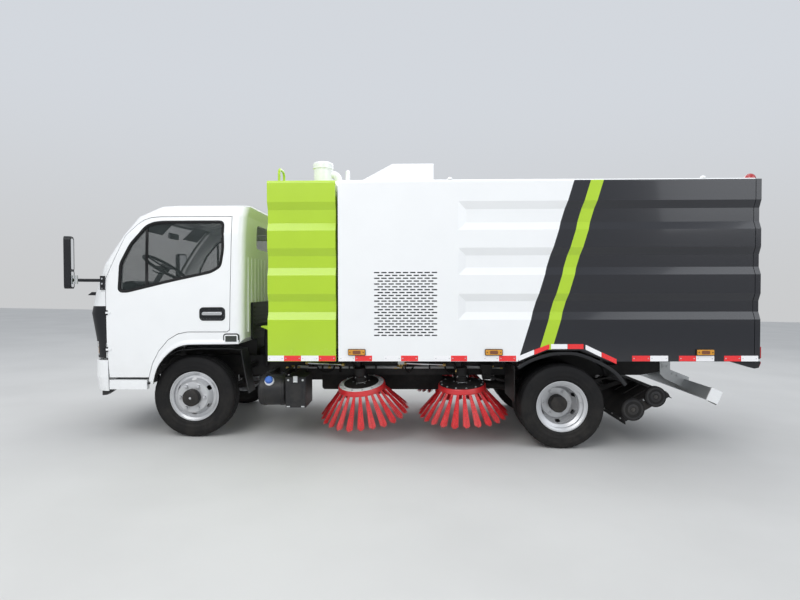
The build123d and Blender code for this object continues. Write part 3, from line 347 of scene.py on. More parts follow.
surfaces["tapeWhite"] = makeTape("tapeWhite", (0.90, 0.90, 0.92))
surfaces["tapeRed"] = makeTape("tapeRed", (0.84, 0.022, 0.026))


def makeBristles():
    # Red plastic bristles, each strand a little different, dusty towards the tips
    material, wiring, shader, place = newMaterial("bristleRed")
    strands = wiring.ramp(wiring.noise(place, 95.0, Detail=3.0), 0.3, 0.7)
    tone = wiring.mix(strands, rgba((0.50, 0.010, 0.016)), rgba((0.86, 0.035, 0.042)))
    dust = dustMask(wiring, place, 0.02, 0.30, 0.22, 26.0)
    wiring.feed(shader, {"Base Color": wiring.mix(dust, tone, rgba((0.45, 0.20, 0.17))),
                         "Roughness": wiring.blend(dust, 0.36, 0.7)})
    return material


surfaces["bristleRed"] = makeBristles()


def makeCloth():
    # Woven seat cloth: two sets of threads crossing
    material, wiring, shader, place = newMaterial("seatCloth")
    warp, weft = (wiring.waves(place, way, 160.0, Distortion=0.6, Detail=1.0) for way in "XY")
    weave = wiring.math("MAXIMUM", warp, weft)
    thread = wiring.mix(weave, rgba((0.05, 0.052, 0.06)), rgba((0.13, 0.135, 0.15)))
    wiring.feed(shader, {"Base Color": thread,
                         "Normal": wiring.bump(weave, 0.5, 0.0008), "Roughness": 0.92,
                         "Sheen Weight": 0.3})
    return material


surfaces["seatCloth"] = makeCloth()


def makeMirrorFace():
    material, wiring, shader, place = newMaterial("mirrorFace")
    smear = wiring.ramp(wiring.noise(place, 18.0), 0.5, 0.8)
    wiring.feed(shader, {"Roughness": wiring.math("MULTIPLY", smear, 0.12), "Metallic": 1.0,
                         "Base Color": (0.84, 0.86, 0.88, 1)})
    return material


surfaces["mirrorFace"] = makeMirrorFace()
print("finishes made:", len(surfaces))

# CAD nodes that are shown as they are

finishNodes = {
    "limePaint": ("water_tank", "climbing_aids"),
    "whitePaint": ("intake_drum", "guard_ends", "cab_shell", "bumper", "side_steps", "roof_fittings"),
    "chassisBlack": ("frame", "leaf_springs", "cross_members", "subframe", "frame_brackets",
                     "lift_barrels", "nozzle_arms", "nozzle"),
    "castIron": ("front_axle", "rear_axle", "main_engine", "aux_engine"),
    "blackPlastic": ("side_tanks", "mudguards", "front_panel", "mirrors", "steering_wheel", "tail_lamps"),
    "tyreRubber": ("nozzle_wheels_front", "nozzle_wheels_rear"),
    "redLens": ("rear_beacons",), "zincSteel": ("rear_guard",), "windowGlass": ("cab_glass",),
    "greyPlastic": ("dashboard",), "seatCloth": ("seats",), "lensClear": ("headlamps",),
    "liveryPaint": ("hopper",), "darkPaint": ("tailgate",), "chrome": ("lift_rods",),
}
nodeFinish = {nodeName: finishName for finishName, group in finishNodes.items() for nodeName in group}
finishByStart = {"tyre": "tyreRubber", "rim": "wheelSilver", "door_glass": "windowGlass",
                 "door": "whitePaint", "knuckle": "castIron", "brush_arm": "chassisBlack",
                 "brush": "bristleRed"}
for nodeName, node in cadNodes.items():
    finishName = nodeFinish.get(nodeName)
    for start, choice in finishByStart.items():
        if finishName is None and nodeName.startswith(start):
            finishName = choice
    node.data.materials.clear()
    node.data.materials.append(surfaces[finishName])
print("CAD nodes finished")

# Mesh helpers: everything is drawn in body millimetres


def makePiece(name, bm, body, finish, slot=None, smooth=38, bevel=0.0):
    # finish is one surface name, or a list where faces carry a material index
    bmesh.ops.transform(bm, matrix=toFrame, verts=bm.verts)
    bmesh.ops.remove_doubles(bm, verts=bm.verts, dist=0.00001)
    mesh = meshOf(bm, name)
    for surface in [finish] if isinstance(finish, str) else finish:
        mesh.materials.append(surfaces[surface])
    mesh.shade_smooth()
    mesh.set_sharp_from_angle(angle=math.radians(smooth))
    piece = bpy.data.objects.new(name, mesh)
    bpy.context.scene.collection.objects.link(piece)
    if bevel:
        rounding = piece.modifiers.new("rounding", "BEVEL")
        rounding.width = bevel / 1000
        rounding.segments = 2
        rounding.limit_method = "ANGLE"
        rounding.angle_limit = math.radians(40)
    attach(piece, body)
    return piece


def meshOf(bm, name="part"):
    bmesh.ops.recalc_face_normals(bm, faces=bm.faces)
    mesh = bpy.data.meshes.new(name)
    bm.to_mesh(mesh)
    bm.free()
    return mesh


def span(out, near, far):
    # Two distances from the truck's middle as the low and high y on one side
    return sorted((out * near, out * far))


def outward(profile, out):
    # A lathe profile whose distances run towards one side
    return [(radius, out * distance) for radius, distance in profile]


def flipSide(bm):
    for vert in bm.verts:
        vert.co.y = -vert.co.y


def bridge(bm, loops):
    # Quads between each closed loop of vertices and the next
    faces = []
    for near, far in zip(loops, loops[1:]):
        for i in range(len(near)):
            j = (i + 1) % len(near)
            faces.append(bm.faces.new((near[i], near[j], far[j], far[i])))
    return faces


def tag(faces, index):
    for face in faces:
        face.material_index = index


def addBox(bm, x0, x1, y0, y1, z0, z1, index=0):
    corners = [bm.verts.new((x, y, z)) for x in (x0, x1) for y in (y0, y1) for z in (z0, z1)]
    order = ((0, 1, 3, 2), (4, 6, 7, 5), (0, 4, 5, 1), (2, 3, 7, 6), (0, 2, 6, 4), (1, 5, 7, 3))
    faces = [bm.faces.new([corners[i] for i in face]) for face in order]
    tag(faces, index)
    return faces


def addPrism(bm, points, plane, low, high, index=0):
    # plane "y": points are (x, z); plane "x": (y, z); plane "z": (x, y)
    def at(u, v, w):
        return {"y": (u, w, v), "x": (w, u, v), "z": (u, v, w)}[plane]
    near = [bm.verts.new(at(u, v, low)) for u, v in points]
    far = [bm.verts.new(at(u, v, high)) for u, v in points]
    faces = [bm.faces.new(near), bm.faces.new(list(reversed(far)))]
    count = len(points)
    for i in range(count):
        j = (i + 1) % count
        faces.append(bm.faces.new((near[i], far[i], far[j], near[j])))
    tag(faces, index)
    return faces


def roundedOutline(x0, x1, z0, z1, radius, steps=5):
    points = []
    for cx, cz, start in ((x1 - radius, z1 - radius, 0), (x0 + radius, z1 - radius, 90),
                          (x0 + radius, z0 + radius, 180), (x1 - radius, z0 + radius, 270)):
        for k in range(steps + 1):
            angle = math.radians(start + 90 * k / steps)
            points.append((cx + radius * math.cos(angle), cz + radius * math.sin(angle)))
    return points


def addLathe(bm, profile, axis, centre, steps=48, index=0):
    # profile: (radius, distance along the axis); closed at both ends by the profile itself
    across = {"y": ((1, 0, 0), (0, 0, 1), (0, 1, 0)), "z": ((1, 0, 0), (0, 1, 0), (0, 0, 1)),
              "x": ((0, 1, 0), (0, 0, 1), (1, 0, 0))}[axis]
    first, second, along = (Vector(v) for v in across)
    rings = []
    for k in range(steps):
        angle = math.radians(360 * k / steps)
        ray = first * math.cos(angle) + second * math.sin(angle)
        rings.append([bm.verts.new(Vector(centre) + ray * radius + along * offset)
                      for radius, offset in profile])
    faces = []
    for k in range(steps):
        here, there = rings[k], rings[(k + 1) % steps]
        for i in range(len(profile) - 1):
            if profile[i][0] < 1e-6 and profile[i + 1][0] < 1e-6:
                continue
            quad = [here[i], here[i + 1], there[i + 1], there[i]]
            if profile[i][0] < 1e-6:
                quad = [here[i], here[i + 1], there[i + 1]]
            elif profile[i + 1][0] < 1e-6:
                quad = [here[i], here[i + 1], there[i]]
            faces.append(bm.faces.new(quad))
    tag(faces, index)
    return faces


def addRod(bm, start, end, radius, sides=12, index=0, endRadius=None):
    start, end = Vector(start), Vector(end)
    direction = (end - start).normalized()
    side = direction.orthogonal().normalized()
    other = direction.cross(side)
    farRadius = radius if endRadius is None else endRadius
    near, far = [], []
    for k in range(sides):
        ray = side * math.cos(2 * math.pi * k / sides) + other * math.sin(2 * math.pi * k / sides)
        near.append(bm.verts.new(start + ray * radius))
        far.append(bm.verts.new(end + ray * farRadius))
    faces = [bm.faces.new(list(reversed(near))), bm.faces.new(far)] + bridge(bm, [near, far])
    tag(faces, index)
    return faces


def smoothPath(points, steps=6):
    # Catmull-Rom through the points
    points = [Vector(p) for p in points]
    ends = [points[0] * 2 - points[1]] + points + [points[-1] * 2 - points[-2]]
    path = []
    for i in range(1, len(ends) - 2):
        a, b, c, d = ends[i - 1:i + 3]
        for k in range(steps):
            t = k / steps
            path.append(0.5 * ((2 * b) + (c - a) * t + (2 * a - 5 * b + 4 * c - d) * t * t
                               + (3 * b - a - 3 * c + d) * t * t * t))
    path.append(points[-1])
    return path


def addTube(bm, path, radius, sides=10, index=0):
    path = [Vector(p) for p in path]
    rings = []
    normal = (path[1] - path[0]).orthogonal().normalized()
    for i, point in enumerate(path):
        before, after = path[max(i - 1, 0)], path[min(i + 1, len(path) - 1)]
        direction = (after - before).normalized()
        normal = (normal - direction * normal.dot(direction)).normalized()
        other = direction.cross(normal)
        rings.append([bm.verts.new(point + (normal * math.cos(2 * math.pi * k / sides)
                                            + other * math.sin(2 * math.pi * k / sides)) * radius)
                      for k in range(sides)])
    faces = [bm.faces.new(list(reversed(rings[0]))), bm.faces.new(rings[-1])] + bridge(bm, rings)
    tag(faces, index)
    return faces


def addBolt(bm, centre, axis, size, height, index=0):
    # A hexagon head on a washer
    centre, axis = Vector(centre), Vector(axis).normalized()
    addRod(bm, centre, centre + axis * height * 0.25, size * 0.72, 16, index)
    addRod(bm, centre + axis * height * 0.25, centre + axis * height, size * 0.5, 6, index)

# Geometry Nodes for what repeats

def newCopyTree(name, inputs):
    return newGroup(name, "GeometryNodeTree", (
        ("Geometry", "Geometry", None), *inputs, ("Material", "Material", None)), ("Geometry", "Geometry"))


def addSpots(wiring, count):
    return wiring.add("GeometryNodeMeshLine", mode="OFFSET", inputs={
        "Count": count, "Offset": (0.0, 0.0, 0.0)}).outputs[0]


def placeCopies(wiring, given, end, inputs):
    # The input mesh on each spot, made real and painted
    copies = wiring.add("GeometryNodeInstanceOnPoints", inputs={"Instance": given["Geometry"], **inputs})
    real = wiring.add("GeometryNodeRealizeInstances", inputs={0: copies.outputs[0]})
    painted = wiring.add("GeometryNodeSetMaterial", inputs={
        "Geometry": real.outputs[0], "Material": given["Material"]})
    wiring.tree.links.new(painted.outputs[0], end)


def makeRingTree():
    # Copies of the input mesh turned about an axis, with a seeded change of size
    tree, wiring, given, end = newCopyTree("ringOfCopies", (
        ("Count", "Int", 12), ("Start Angle", "Float", 0.0), ("Size Change", "Float", 0.0),
        ("Seed", "Int", 1), ("Axis", "Vector", (0.0, 1.0, 0.0))))
    number = wiring.add("GeometryNodeInputIndex").outputs[0]
    step = wiring.math("DIVIDE", 2 * math.pi, given["Count"])
    angle = wiring.math("ADD", wiring.math("MULTIPLY", number, step), given["Start Angle"])
    turn = wiring.add("FunctionNodeAxisAngleToRotation", inputs={
        "Axis": given["Axis"], "Angle": angle}).outputs[0]
    chance = wiring.add("FunctionNodeRandomValue", data_type="FLOAT", inputs={
        2: -1.0, 3: 1.0, "Seed": given["Seed"]}).outputs[1]
    size = wiring.math("ADD", wiring.math("MULTIPLY", chance, given["Size Change"]), 1.0)
    scale = wiring.add("ShaderNodeCombineXYZ", inputs={0: size, 1: size, 2: size}).outputs[0]
    placeCopies(wiring, given, end, {"Points": addSpots(wiring, given["Count"]), "Rotation": turn,
                                     "Scale": scale})
    return tree


def makeGridTree():
    # Copies of the input mesh in columns and rows
    tree, wiring, given, end = newCopyTree("gridOfCopies", (
        ("Columns", "Int", 4), ("Rows", "Int", 1), ("Column Step", "Vector", (0.1, 0.0, 0.0)),
        ("Row Step", "Vector", (0.0, 0.0, 0.1))))
    number = wiring.add("GeometryNodeInputIndex").outputs[0]
    row = wiring.math("FLOOR", wiring.math("DIVIDE", wiring.math("ADD", number, 0.5), given["Columns"]))
    column = wiring.math("SUBTRACT", number, wiring.math("MULTIPLY", row, given["Columns"]))
    byColumn, byRow = (wiring.add("ShaderNodeVectorMath", operation="SCALE", inputs={
        0: given[label], "Scale": count}).outputs[0] for label, count in (("Column Step", column),
                                                                          ("Row Step", row)))
    shift = wiring.add("ShaderNodeVectorMath", operation="ADD", inputs={0: byColumn, 1: byRow}).outputs[0]
    spots = addSpots(wiring, wiring.math("MULTIPLY", given["Columns"], given["Rows"]))
    placed = wiring.add("GeometryNodeSetPosition", inputs={"Geometry": spots, "Offset": shift})
    placeCopies(wiring, given, end, {"Points": placed.outputs[0]})
    return tree


ringTree = makeRingTree()
gridTree = makeGridTree()


def copiesOf(bm, tree, settings, finish):
    # Runs a copy tree on a mesh and returns the result as a plain mesh, still in millimetres
    mesh = bpy.data.meshes.new("copySeed")
    bm.to_mesh(mesh)
    bm.free()
    carrier = bpy.data.objects.new("copyCarrier", mesh)
    bpy.context.scene.collection.objects.link(carrier)
    modifier = carrier.modifiers.new("copies", "NODES")
    modifier.node_group = tree
    for label, value in settings.items():
        modifier[socketId(tree, label)] = value
    modifier[socketId(tree, "Material")] = surfaces[finish]
    bpy.context.view_layer.update()
    ready = carrier.evaluated_get(bpy.context.evaluated_depsgraph_get())
    result = bpy.data.meshes.new_from_object(ready)
    bpy.data.objects.remove(carrier)
    bpy.data.meshes.remove(mesh)
    return result


def joinMeshes(meshes):
    # Several plain meshes as one bmesh; face materials become their place in the list
    bm = bmesh.new()
    for index, mesh in enumerate(meshes):
        before = len(bm.faces)
        bm.from_mesh(mesh)
        bm.faces.ensure_lookup_table()
        tag(bm.faces[before:], index)
        bpy.data.meshes.remove(mesh)
    return bm


# Tyres

tyreLook = {"bead": 204, "half": 99.5, "crown": 1500, "grooves": (-46, 0, 46), "grooveHalf": 5,
            "grooveDepth": 9, "blocks": 46, "lugs": 46, "lugStart": 0.03, "steps": 92,
            "cuts": ((-70, -54, 0), (-38, -22, 5), (-21, -8, -4), (8, 21, 4), (22, 38, -5), (54, 70, 0))}


def makeTyreMesh():
    radius = truck["tyreRadius"] - 0.8
    bead, half, depth = tyreLook["bead"], tyreLook["half"], tyreLook["grooveDepth"]
    grooveHalf, flank = tyreLook["grooveHalf"], tyreLook["grooveHalf"] * 1.6

    def crown(y):
        return radius - y ** 2 / tyreLook["crown"]

    tread = []
    for centre in tyreLook["grooves"]:
        tread += [(crown(centre - flank), centre - flank), (radius - depth, centre - grooveHalf),
                  (radius - depth, centre + grooveHalf), (crown(centre + flank), centre + flank)]
    side = [(bead, 60), (bead + 1, 70), (226, 73), (231, 82), (240, 87), (246, 91), (249, 90), (262, 94.5),
            (276, 97.5), (279, 98.6), (282, 97.8), (300, 99), (318, 99.3), (321, half), (324, 98.8),
            (338, 97), (350, 93), (353, 92.5), (358, 88), (364, 82), (radius - 4, 76), (radius - 2, 70)]
    profile = [(r, -y) for r, y in side] + tread + [(r, y) for r, y in reversed(side)]
    profile.append(profile[0])
    body = bmesh.new()
    addLathe(body, profile, "y", (0, 0, 0), tyreLook["steps"])
    # Cross cuts between the ribs read as small blocks standing on the tread
    lug = bmesh.new()
    for y0, y1, skew in tyreLook["cuts"]:
        top = crown((y0 + y1) / 2)
        addBox(lug, -17 + skew, -17 + skew + 24, y0, y1, top - 3, top + 0.6)
    ribs = copiesOf(lug, ringTree, {"Count": tyreLook["blocks"]}, "tyreRubber")
    shoulder = bmesh.new()
    for out in (-1, 1):
        rows = ((radius - 1, 71), (radius - 6, 80), (359, 87.5), (351, 93.5), (342, 97.2))
        near, far = [], []
        for r, y in rows:
            near.append(shoulder.verts.new((-13, out * y, r)))
            far.append(shoulder.verts.new((7, out * y, r)))
        inner = [shoulder.verts.new((x, out * 60, 348)) for x in (-13, 7)]
        for i in range(len(rows) - 1):
            shoulder.faces.new((near[i], near[i + 1], far[i + 1], far[i]))
            shoulder.faces.new((near[i], near[i + 1], inner[0]))
            shoulder.faces.new((far[i + 1], far[i], inner[1]))
        shoulder.faces.new((near[0], far[0], inner[1], inner[0]))
        shoulder.faces.new((near[-1], inner[0], inner[1], far[-1]))
    lugs = copiesOf(shoulder, ringTree, {"Count": tyreLook["lugs"], "Start Angle": tyreLook["lugStart"]},
                    "tyreRubber")
    merged = joinMeshes([meshOf(body), ribs, lugs])
    return meshOf(merged, "tyreMesh")


tyreMesh = makeTyreMesh()


def placedCopy(mesh, x, y, z):
    bm = bmesh.new()
    bm.from_mesh(mesh)
    bmesh.ops.translate(bm, vec=(x, y, z), verts=bm.verts)
    return bm


frontAxleZ = truck["tyreRadius"]
rearAxleZ = truck["tyreRadius"] - truck["rearAxleDrop"]
for side, out in sides.items():
    tyre = placedCopy(tyreMesh, 0, out * truck["frontWheelY"], frontAxleZ)
    piece = makePiece(f"tread_front_{side}", tyre, f"wheel_front_{side}", "tyreRubber", "tyre_rubber")
    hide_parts(f"tyre_front_{side}")
    twin = bmesh.new()
    for way in (-1, 1):
        y = out * truck["rearWheelY"] + way * truck["twinSpacing"] / 2
        part = placedCopy(tyreMesh, truck["wheelbase"], y, rearAxleZ)
        twin.from_mesh(meshOf(part))
    piece = makePiece(f"treads_rear_{side}", twin, f"wheels_rear_{side}", "tyreRubber", "tyre_rubber")
    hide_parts(f"tyres_rear_{side}")
print("tyres made")

# Brushes

brushLook = {"spots": {"front": (1512, 640, 5, 12), "rear": (2456, 640, 2, 6.5)}, "discZ": 470,
             "discRadius": 217, "tipRadius": 415, "rimHeight": 60, "tuftLength": 330, "tufts": 24,
             "strands": 15, "fan": 0.072, "seed": 7}


def brushHang(row):
    x, y, frontLow, outerLow = brushLook["spots"][row]
    return (Matrix.Translation((x, y, brushLook["discZ"])) @ Matrix.Rotation(math.radians(-outerLow), 4, "X")
            @ Matrix.Rotation(math.radians(-frontLow), 4, "Y"))


def makeTuft():
    # One fan of flat strands leaving the rim downward and outward
    chance = random.Random(brushLook["seed"])
    rim = brushLook["discRadius"] - 14
    splay = math.asin((brushLook["tipRadius"] - brushLook["discRadius"] + 14) / brushLook["tuftLength"])
    bm = bmesh.new()
    count = brushLook["strands"]
    for layer in (-1, 0, 1):
        for k in range(count):
            share = (k - (count - 1) / 2) / ((count - 1) / 2)
            spread = brushLook["fan"] * share * 0.5 + chance.uniform(-0.012, 0.012)
            length = brushLook["tuftLength"] * (1 - 0.05 * abs(share) - chance.uniform(0, 0.07))
            curl = chance.uniform(-6, 10)
            points = []
            for t in (0.0, 0.35, 0.7, 1.0):
                out = rim + math.sin(splay) * length * t + layer * (3 + 4 * t) + curl * t * t * 0.6
                down = 12 - brushLook["rimHeight"] - math.cos(splay) * length * t + layer * 2.0
                across = share * 9 + math.tan(spread) * length * t * 1.6
                points.append(Vector((out, across, down)))
            for a, b, width in zip(points, points[1:], (1.9, 2.3, 2.7)):
                wide = Vector((0, width, 0))
                deep = Vector((0.9, 0, 0.5))
                ring = [[p - wide, p + deep, p + wide] for p in (a, b)]
                low = [bm.verts.new(v) for v in ring[0]]
                high = [bm.verts.new(v) for v in ring[1]]
                for i in range(3):
                    j = (i + 1) % 3
                    bm.faces.new((low[i], low[j], high[j], high[i]))
            bm.faces.new(high)
    return bm


def makeBrush(row):
    rim = brushLook["discRadius"]
    middle, upright = (0, 0, 0), {"Axis": (0.0, 0.0, 1.0)}
    perTuft = {"Count": brushLook["tufts"], **upright}
    tufts = copiesOf(makeTuft(), ringTree, {**perTuft, "Size Change": 0.012, "Seed": 3}, "bristleRed")
    plate, guard, band, hub, sleeve, bolt, rimBolt = (bmesh.new() for _ in range(7))
    addLathe(plate, [(0, 2), (rim - 44, 2), (rim - 38, -2), (rim - 12, -3), (rim - 6, -7), (rim - 6, -20),
                     (0, -20)], "z", middle, 64)
    addLathe(guard, [(0, 12), (80, 12), (146, 7), (164, 4), (164, 2), (0, 2)], "z", middle, 48)
    addLathe(band, [(rim - 5, -6), (rim - 1, -7), (rim + 4, -14), (rim + 7, -50), (rim + 1, -58),
                    (rim - 24, -60), (rim - 26, -22), (rim - 7, -20), (rim - 5, -6)], "z", middle, 64)
    addLathe(hub, [(0, 24), (46, 24), (52, 20), (54, 4), (96, 3), (98, 0)], "z", middle, 40)
    addLathe(hub, [(0, 54), (17, 54), (18, 24)], "z", middle, 24)
    # A short sleeve holds each tuft in the rim
    addLathe(sleeve, [(9, -6), (10.5, 6), (10.5, 16), (8.5, 18), (0.1, 18), (0.1, -6), (9, -6)], "z",
             middle, 12)
    sleevePlace = Matrix.Translation((rim - 6, 0, -58)) @ Matrix.Rotation(math.radians(148), 4, "Y")
    bmesh.ops.transform(sleeve, matrix=sleevePlace, verts=sleeve.verts)
    sleeves = copiesOf(sleeve, ringTree, perTuft, "blackPlastic")
    addBolt(bolt, (75, 0, 3), (0, 0, 1), 17, 12)
    bolts = copiesOf(bolt, ringTree, {"Count": 6, **upright}, "zincSteel")
    addBolt(rimBolt, (rim - 22, 0, -2), (0, 0, 1), 13, 8)
    rimBolts = copiesOf(rimBolt, ringTree, {"Count": 13, **upright}, "zincSteel")
    whole = joinMeshes([tufts, meshOf(plate), meshOf(band), meshOf(hub), sleeves, bolts, rimBolts,
                        meshOf(guard)])
    bmesh.ops.transform(whole, matrix=brushHang(row), verts=whole.verts)
    return meshOf(whole, "brushMesh")


brushPlates = {"front": "whitePaint", "rear": "chassisBlack"}
for row, plateFinish in brushPlates.items():
    brushMesh = makeBrush(row)
    # In the order of the joined meshes: tufts, plate, band, hub, sleeves, bolts, rim bolts, guard
    brushFinishes = ["bristleRed", plateFinish, "redPlastic", "zincSteel", "redPlastic", "zincSteel",
                     "zincSteel", "chassisBlack"]
    for side, out in sides.items():
        brush = placedCopy(brushMesh, 0, 0, 0)
        if out < 0:
            flipSide(brush)
        piece = makePiece(f"bristles_{row}_{side}", brush, f"brush_{row}_{side}", brushFinishes, "brush_red")
        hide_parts(f"brush_{row}_{side}")
print("brushes made")

# Reflective tape along the body's lower edge

tapeLook = {"proud": 1.2, "height": 42, "low": 720, "rivet": 5, "rivetInset": 16, "rivetZ": 744,
            "owners": (("chassis", 0, 1340), ("hopper", 1340, 6000))}
tapeLook["pieces"] = (("White", 729, 871), ("Red", 871, 1020), ("White", 1020, 1174), ("Red", 1174, 1323),
                      ("White", 1353, 1492), ("Red", 1492, 1641), ("White", 1745, 1893), ("Red", 1893, 2041),
                      ("White", 2180, 2327), ("Red", 2327, 2466), ("White", 2604, 2742), ("Red", 2742, 2889),
                      ("Red", 3885, 4039), ("White", 4038, 4192), ("Red", 4285, 4430), ("White", 4430, 4584),
                      ("Red", 4668, 4813), ("White", 4812, 4957))
tapeLook["arch"] = (("White", (2912, 723), (3044, 777)), ("Red", (3046, 778), (3176, 826)),
                    ("White", (3190, 826), (3330, 826)), ("Red", (3332, 826), (3468, 826)),
                    ("White", (3486, 820), (3622, 756)), ("Red", (3624, 755), (3752, 697)))


def addTapePiece(bm, out, start, end, height):
    face = truck["bodyHalf"]
    (x0, z0), (x1, z1) = start, end
    corners = [(x0 + 2, z0), (x1 - 2, z1), (x1, z1 + 2), (x1, z1 + height - 2), (x1 - 2, z1 + height),
               (x0 + 2, z0 + height), (x0, z0 + height - 2), (x0, z0 + 2)]
    addPrism(bm, corners, "y", out * (face - 0.2), out * (face + tapeLook["proud"]))


def addRivet(bm, x, y, z, out, radius):
    profile = [(0, radius * 0.55), (radius * 0.6, radius * 0.45), (radius, 0.1), (radius, -0.4), (0, -0.4)]
    addLathe(bm, outward(profile, out), "y", (x, y, z), 10)


for paint in ("White", "Red"):
    for owner, low, high in tapeLook["owners"]:
        strips = bmesh.new()
        for out in sides.values():
            for color, x0, x1 in tapeLook["pieces"]:
                if color == paint and low < x0 < high:
                    addTapePiece(strips, out, (x0, tapeLook["low"]), (x1, tapeLook["low"]),
                                 tapeLook["height"] + 6)
            for color, start, end in tapeLook["arch"]:
                if color == paint and owner == "hopper":
                    addTapePiece(strips, out, start, end, tapeLook["height"])
        makePiece(f"tape{paint}_{owner}", strips, owner, f"tape{paint}")
for owner, low, high in tapeLook["owners"]:
    rivets = bmesh.new()
    for out in sides.values():
        for color, x0, x1 in tapeLook["pieces"]:
            if low < x0 < high:
                for x in (x0 + tapeLook["rivetInset"], x1 - tapeLook["rivetInset"]):
                    addRivet(rivets, x, out * (truck["bodyHalf"] + tapeLook["proud"]), tapeLook["rivetZ"],
                             out, tapeLook["rivet"])
    makePiece(f"tapeRivets_{owner}", rivets, owner, "zincSteel")
print("tape made")

# Amber side markers

markerLook = {"middles": (1508, 2696, 4504), "half": 77, "low": 770, "high": 826, "depth": 20}


def addMarker(lens, base, x, out):
    face = truck["bodyHalf"]
    look = markerLook
    frame2d = roundedOutline(x - look["half"], x + look["half"], look["low"], look["high"], 9)
    addPrism(base, frame2d, "y", out * (face - 1), out * (face + look["depth"] * 0.45))
    inner = roundedOutline(x - look["half"] + 5, x + look["half"] - 5, look["low"] + 5, look["high"] - 5, 7)
    addPrism(lens, inner, "y", out * (face + 4), out * (face + look["depth"]))
    for way in (-1, 1):
        addRod(base, (x + way * 58, out * (face + look["depth"] - 1), 798),
               (x + way * 58, out * (face + look["depth"] + 2.5), 798), 5, 10)


for x in markerLook["middles"]:
    lens, base, core = bmesh.new(), bmesh.new(), bmesh.new()
    for out in sides.values():
        addMarker(lens, base, x, out)
        addPrism(core, roundedOutline(x - 34, x + 34, 783, 813, 8), "y", out * 1049.5, out * 1052)
    makePiece(f"markerLens_{x}", lens, "hopper", "amberLens", bevel=2.5)
    makePiece(f"markerBase_{x}", base, "hopper", "blackPlastic")
    makePiece(f"markerCore_{x}", core, "hopper", "brownLens")
print("side markers made")

# Vent grille in the engine bay's side: white lips round each slot, and a dark plate in each slot as painted
# shade for the opening

ventLook = {"left": 1652, "right": 2215, "low": 945, "high": 1490, "rows": 23, "slots": 9,
            "slotHalf": 24, "slotRise": 5.5, "lip": 3.2}


# A dark plate across the slot: painted shade for the shaded opening behind the lip
def addSlotShade(bm, out):
    half, rise = ventLook["slotHalf"], ventLook["slotRise"]
    addPrism(bm, roundedOutline(-half, half, -rise, rise, rise - 0.01, 4), "y", out * -0.5, out * 0.7)


def addLip(bm, out):
    half, rise, lip = ventLook["slotHalf"], ventLook["slotRise"], ventLook["lip"]
    loops = []
    for grow, depth in ((lip, 0.0), (lip * 0.5, 1.6), (0.0, 1.2), (-0.4, -0.2)):
        loop = roundedOutline(-half - grow, half + grow, -rise - grow, rise + grow, rise + grow - 0.01, 4)
        loops.append([bm.verts.new((x, out * depth, z)) for x, z in loop])
    bridge(bm, loops)


ventPitch = (ventLook["right"] - ventLook["left"]) / ventLook["slots"]
ventRise = (ventLook["high"] - ventLook["low"]) / (ventLook["rows"] - 1)
for side, out in sides.items():
    for partName, finish, drawPart in (("lips", "whitePaint", addLip), ("slotShade", "hoseRubber", addSlotShade)):
        sets = []
        for shift, columns, rowCount in ((0, ventLook["slots"], 12), (1, ventLook["slots"] - 1, 11)):
            seed = bmesh.new()
            drawPart(seed, out)
            start = (ventLook["left"] + ventPitch * (0.5 + shift * 0.5), out * (truck["bodyHalf"] + 0.2),
                     ventLook["low"] + ventRise * shift)
            bmesh.ops.translate(seed, vec=start, verts=seed.verts)
            sets.append(copiesOf(seed, gridTree, {
                "Columns": columns, "Rows": rowCount, "Column Step": (ventPitch, 0.0, 0.0),
                "Row Step": (0.0, 0.0, ventRise * 2)}, finish))
        vent = joinMeshes(sets)
        tag(vent.faces, 0)
        makePiece(f"vent_{partName}_{side}", vent, "hopper", finish)
print("vent grilles made")

# Cab: window rubbers, handles, lamps and mirrors

cabRows = (  # height, front at the corner, bulge of the middle, half width
    (500, -868, 118, 928), (735, -868, 118, 936), (902, -880, 116, 940), (1135, -921, 94, 940),
    (1318, -883, 112, 939), (1578, -801, 118, 932), (1843, -627, 110, 922), (2005, -494, 98, 905),
    (2096, -323, 60, 856), (2117, -250, 40, 770))
cornerWidth, cornerLength = 95, 130


def cabSection(z):
    for lower, upper in zip(cabRows, cabRows[1:]):
        if lower[0] <= z <= upper[0]:
            share = (z - lower[0]) / (upper[0] - lower[0])
            return [a + share * (b - a) for a, b in zip(lower[1:], upper[1:])]
    return list(cabRows[0][1:]) if z < cabRows[0][0] else list(cabRows[-1][1:])


def cabHalfWidth(z):
    return cabSection(z)[2]


def cabFront(y, z):
    # x of the cab's front face at a place across it
    corner, bulge, half = cabSection(z)
    cornerY = half - cornerWidth
    radius = (cornerY ** 2 + bulge ** 2) / (2 * bulge)
    if abs(y) <= cornerY:
        return corner - bulge + radius - math.sqrt(radius ** 2 - y ** 2)
    share = min(1.0, (abs(y) - cornerY) / cornerWidth)
    return corner + cornerLength * (1 - math.cos(share * math.pi / 2)) ** 1.3


def onCabSide(out):
    return lambda x, z, proud: (x, out * (cabHalfWidth(z) + proud), z)


def onCabFront(y, z, proud):
    return cabFront(y, z) - proud, y, z


def onFlatSide(out, face):
    return lambda x, z, proud: (x, out * (face + proud), z)


windowLine = [(-627, 1336), (-560, 1333), (-165, 1428), (196, 1505), (279, 1554), (302, 1700),
              (302, 1949), (-242, 1949), (-325, 1939), (-388, 1909), (-524, 1751), (-614, 1577)]


def roundCorners(points, radius, steps=4):
    rounded = []
    count = len(points)
    for i in range(count):
        before, here, after = (Vector(points[j % count]) for j in (i - 1, i, i + 1))
        toBefore, toAfter = before - here, after - here
        reach = min(radius, toBefore.length * 0.45, toAfter.length * 0.45)
        start, end = here + toBefore.normalized() * reach, here + toAfter.normalized() * reach
        for k in range(steps + 1):
            t = k / steps
            rounded.append(tuple(start * (1 - t) ** 2 + here * 2 * t * (1 - t) + end * t * t))
    return rounded


